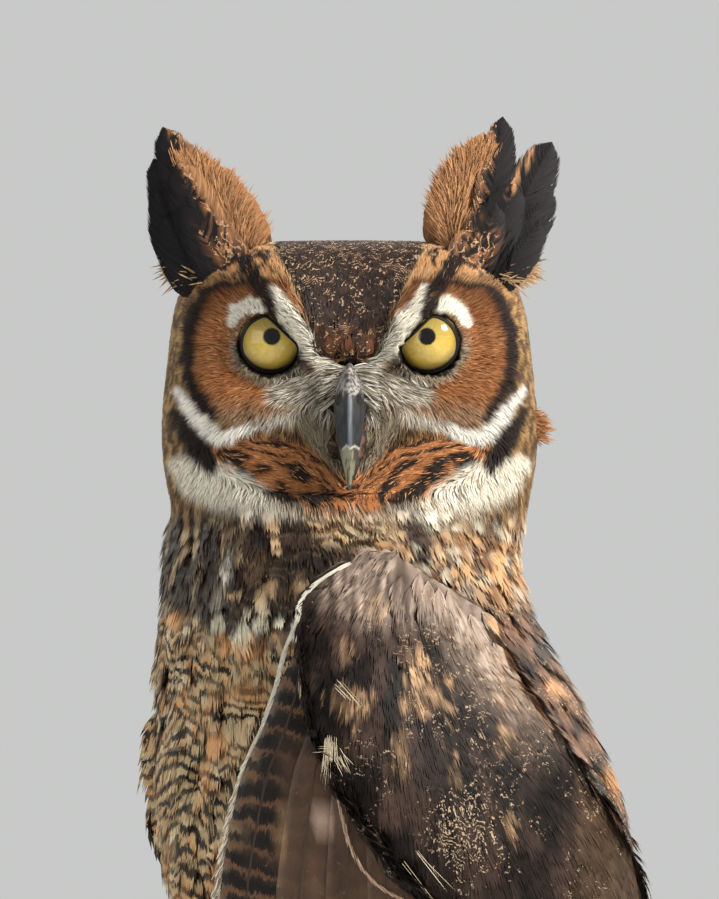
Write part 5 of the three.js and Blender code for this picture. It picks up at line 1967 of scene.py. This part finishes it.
# %% Bill
bill_line = curve_through([[0, -42, -17], [0, -57, -18], [0, -66.5, -26], [0, -70, -38], [0, -68, -48],
                           [0, -66, -55]], 120)
t = np.linspace(0, 1, 120)
bill_wide = (4.4 + 1.0 * soft(0.15, 0.45, t)) * (1 - soft(0.45, 1.05, t)) ** 0.8 + 0.4
bill_high = (9.5 - 1.5 * t) * (1 - soft(0.35, 1.05, t)) ** 0.8 + 0.6
places, faces, along, over, flank = loft(bill_line, bill_wide, bill_high, [1, 0, 0], around=72, ridge=0.42)
dent = nostril_share(places)
color = bill_colors(places)
places = places + vectors(-np.sign(places[:, 0]) * dent * 0.7, dent * 1.2, 0)
step_in = 1 - soft(-0.6, 0.2, places[:, 2] - CHIP_LINE)
places[:, 1] += 0.35 * step_in * (np.abs(over) > 0.2)
patch = np.stack([0.5 + flank * 0.2 + over * 0.1, along], 1)
horn_piece("bill_upper_horn", from_head(places), faces, color, patch, "bill_upper")
lower_line = curve_through([[0.5, -44, -31], [0.6, -56, -36], [0.5, -61.5, -44], [0.2, -62.5, -51]], 40)
t = np.linspace(0, 1, 40)
lower_wide, lower_high = 6.9 * (1 - 0.75 * t**2), 4.8 * (1 - 0.7 * t**2)
places, faces, along, over, flank = loft(lower_line, lower_wide, lower_high, [1, 0, 0])
worn = soft(0.55, 0.7, noise(places, [0.8, 1.6, 1.6], 73))
color = blend(blend(SLATE * 0.35, SLATE * 0.8, noise(places, [0.7, 0.7, 2.5], 74)), RUFOUS_DARK, worn * 0.7)
patch = np.stack([0.5 + flank * 0.2 + over * 0.1, along], 1)
horn_piece("bill_lower_horn", from_head(places), faces, color, patch, "bill_lower")

# %% Claws
CLAWS = ((-16, 41), (14, 46), (98, 38), (176, 30))  # inner, middle, outer, hind: turn, length of the toe
parts = []
t = np.linspace(0, 1, 20)
radius = 4.1 * (1 - 0.88 * t**1.4)
for side in SIDES.values():
    for turn, length in CLAWS:
        turn = math.radians(turn) * side
        reach = length - 2 + np.array([0, 31 / 3, 62 / 3, 31.0])
        points = vectors(side * 40 + math.sin(turn) * reach, 15 + SHIFT - math.cos(turn) * reach,
                         np.array([9, 15, 8.5, 0.9]))
        side_way = [math.cos(turn), math.sin(turn), 0]
        made = loft(curve_through(points, 20), radius * 0.85, radius, side_way, around=16)
        places, faces, along, _, flank = made
        color = blend(BLACK, tone("4a4444"), 1 - soft(0.0, 0.5, along))
        cell = np.array([len(parts) % 4, len(parts) // 4]) * [0.25, 0.5]
        parts.append((places, faces, color, cell + np.stack([flank * 0.1 + 0.12, along * 0.45], 1)))
horn_piece("claws", *joined(parts),
           *[f"talon_{side_name}_{toe}" for side_name in SIDES for toe in TOE_NAMES])

# %% Floor
floor_mesh = bpy.data.meshes.new("floor")
floor = bpy.data.objects.new("floor", floor_mesh)
bpy.context.scene.collection.objects.link(floor)
ring = np.linspace(0, 2 * np.pi, 97)[:-1]
floor_mesh.from_pydata([(1.6 * math.cos(a), 1.6 * math.sin(a), -0.0005) for a in ring], [], [range(96)])
floor_material = bpy.data.materials.new("floor")
floor_material.use_nodes = True
floor_material.node_tree.nodes["Principled BSDF"].inputs["Base Color"].default_value = (0.62, 0.62, 0.6, 1)
floor_material.node_tree.nodes["Principled BSDF"].inputs["Roughness"].default_value = 0.8
floor_mesh.materials.append(floor_material)
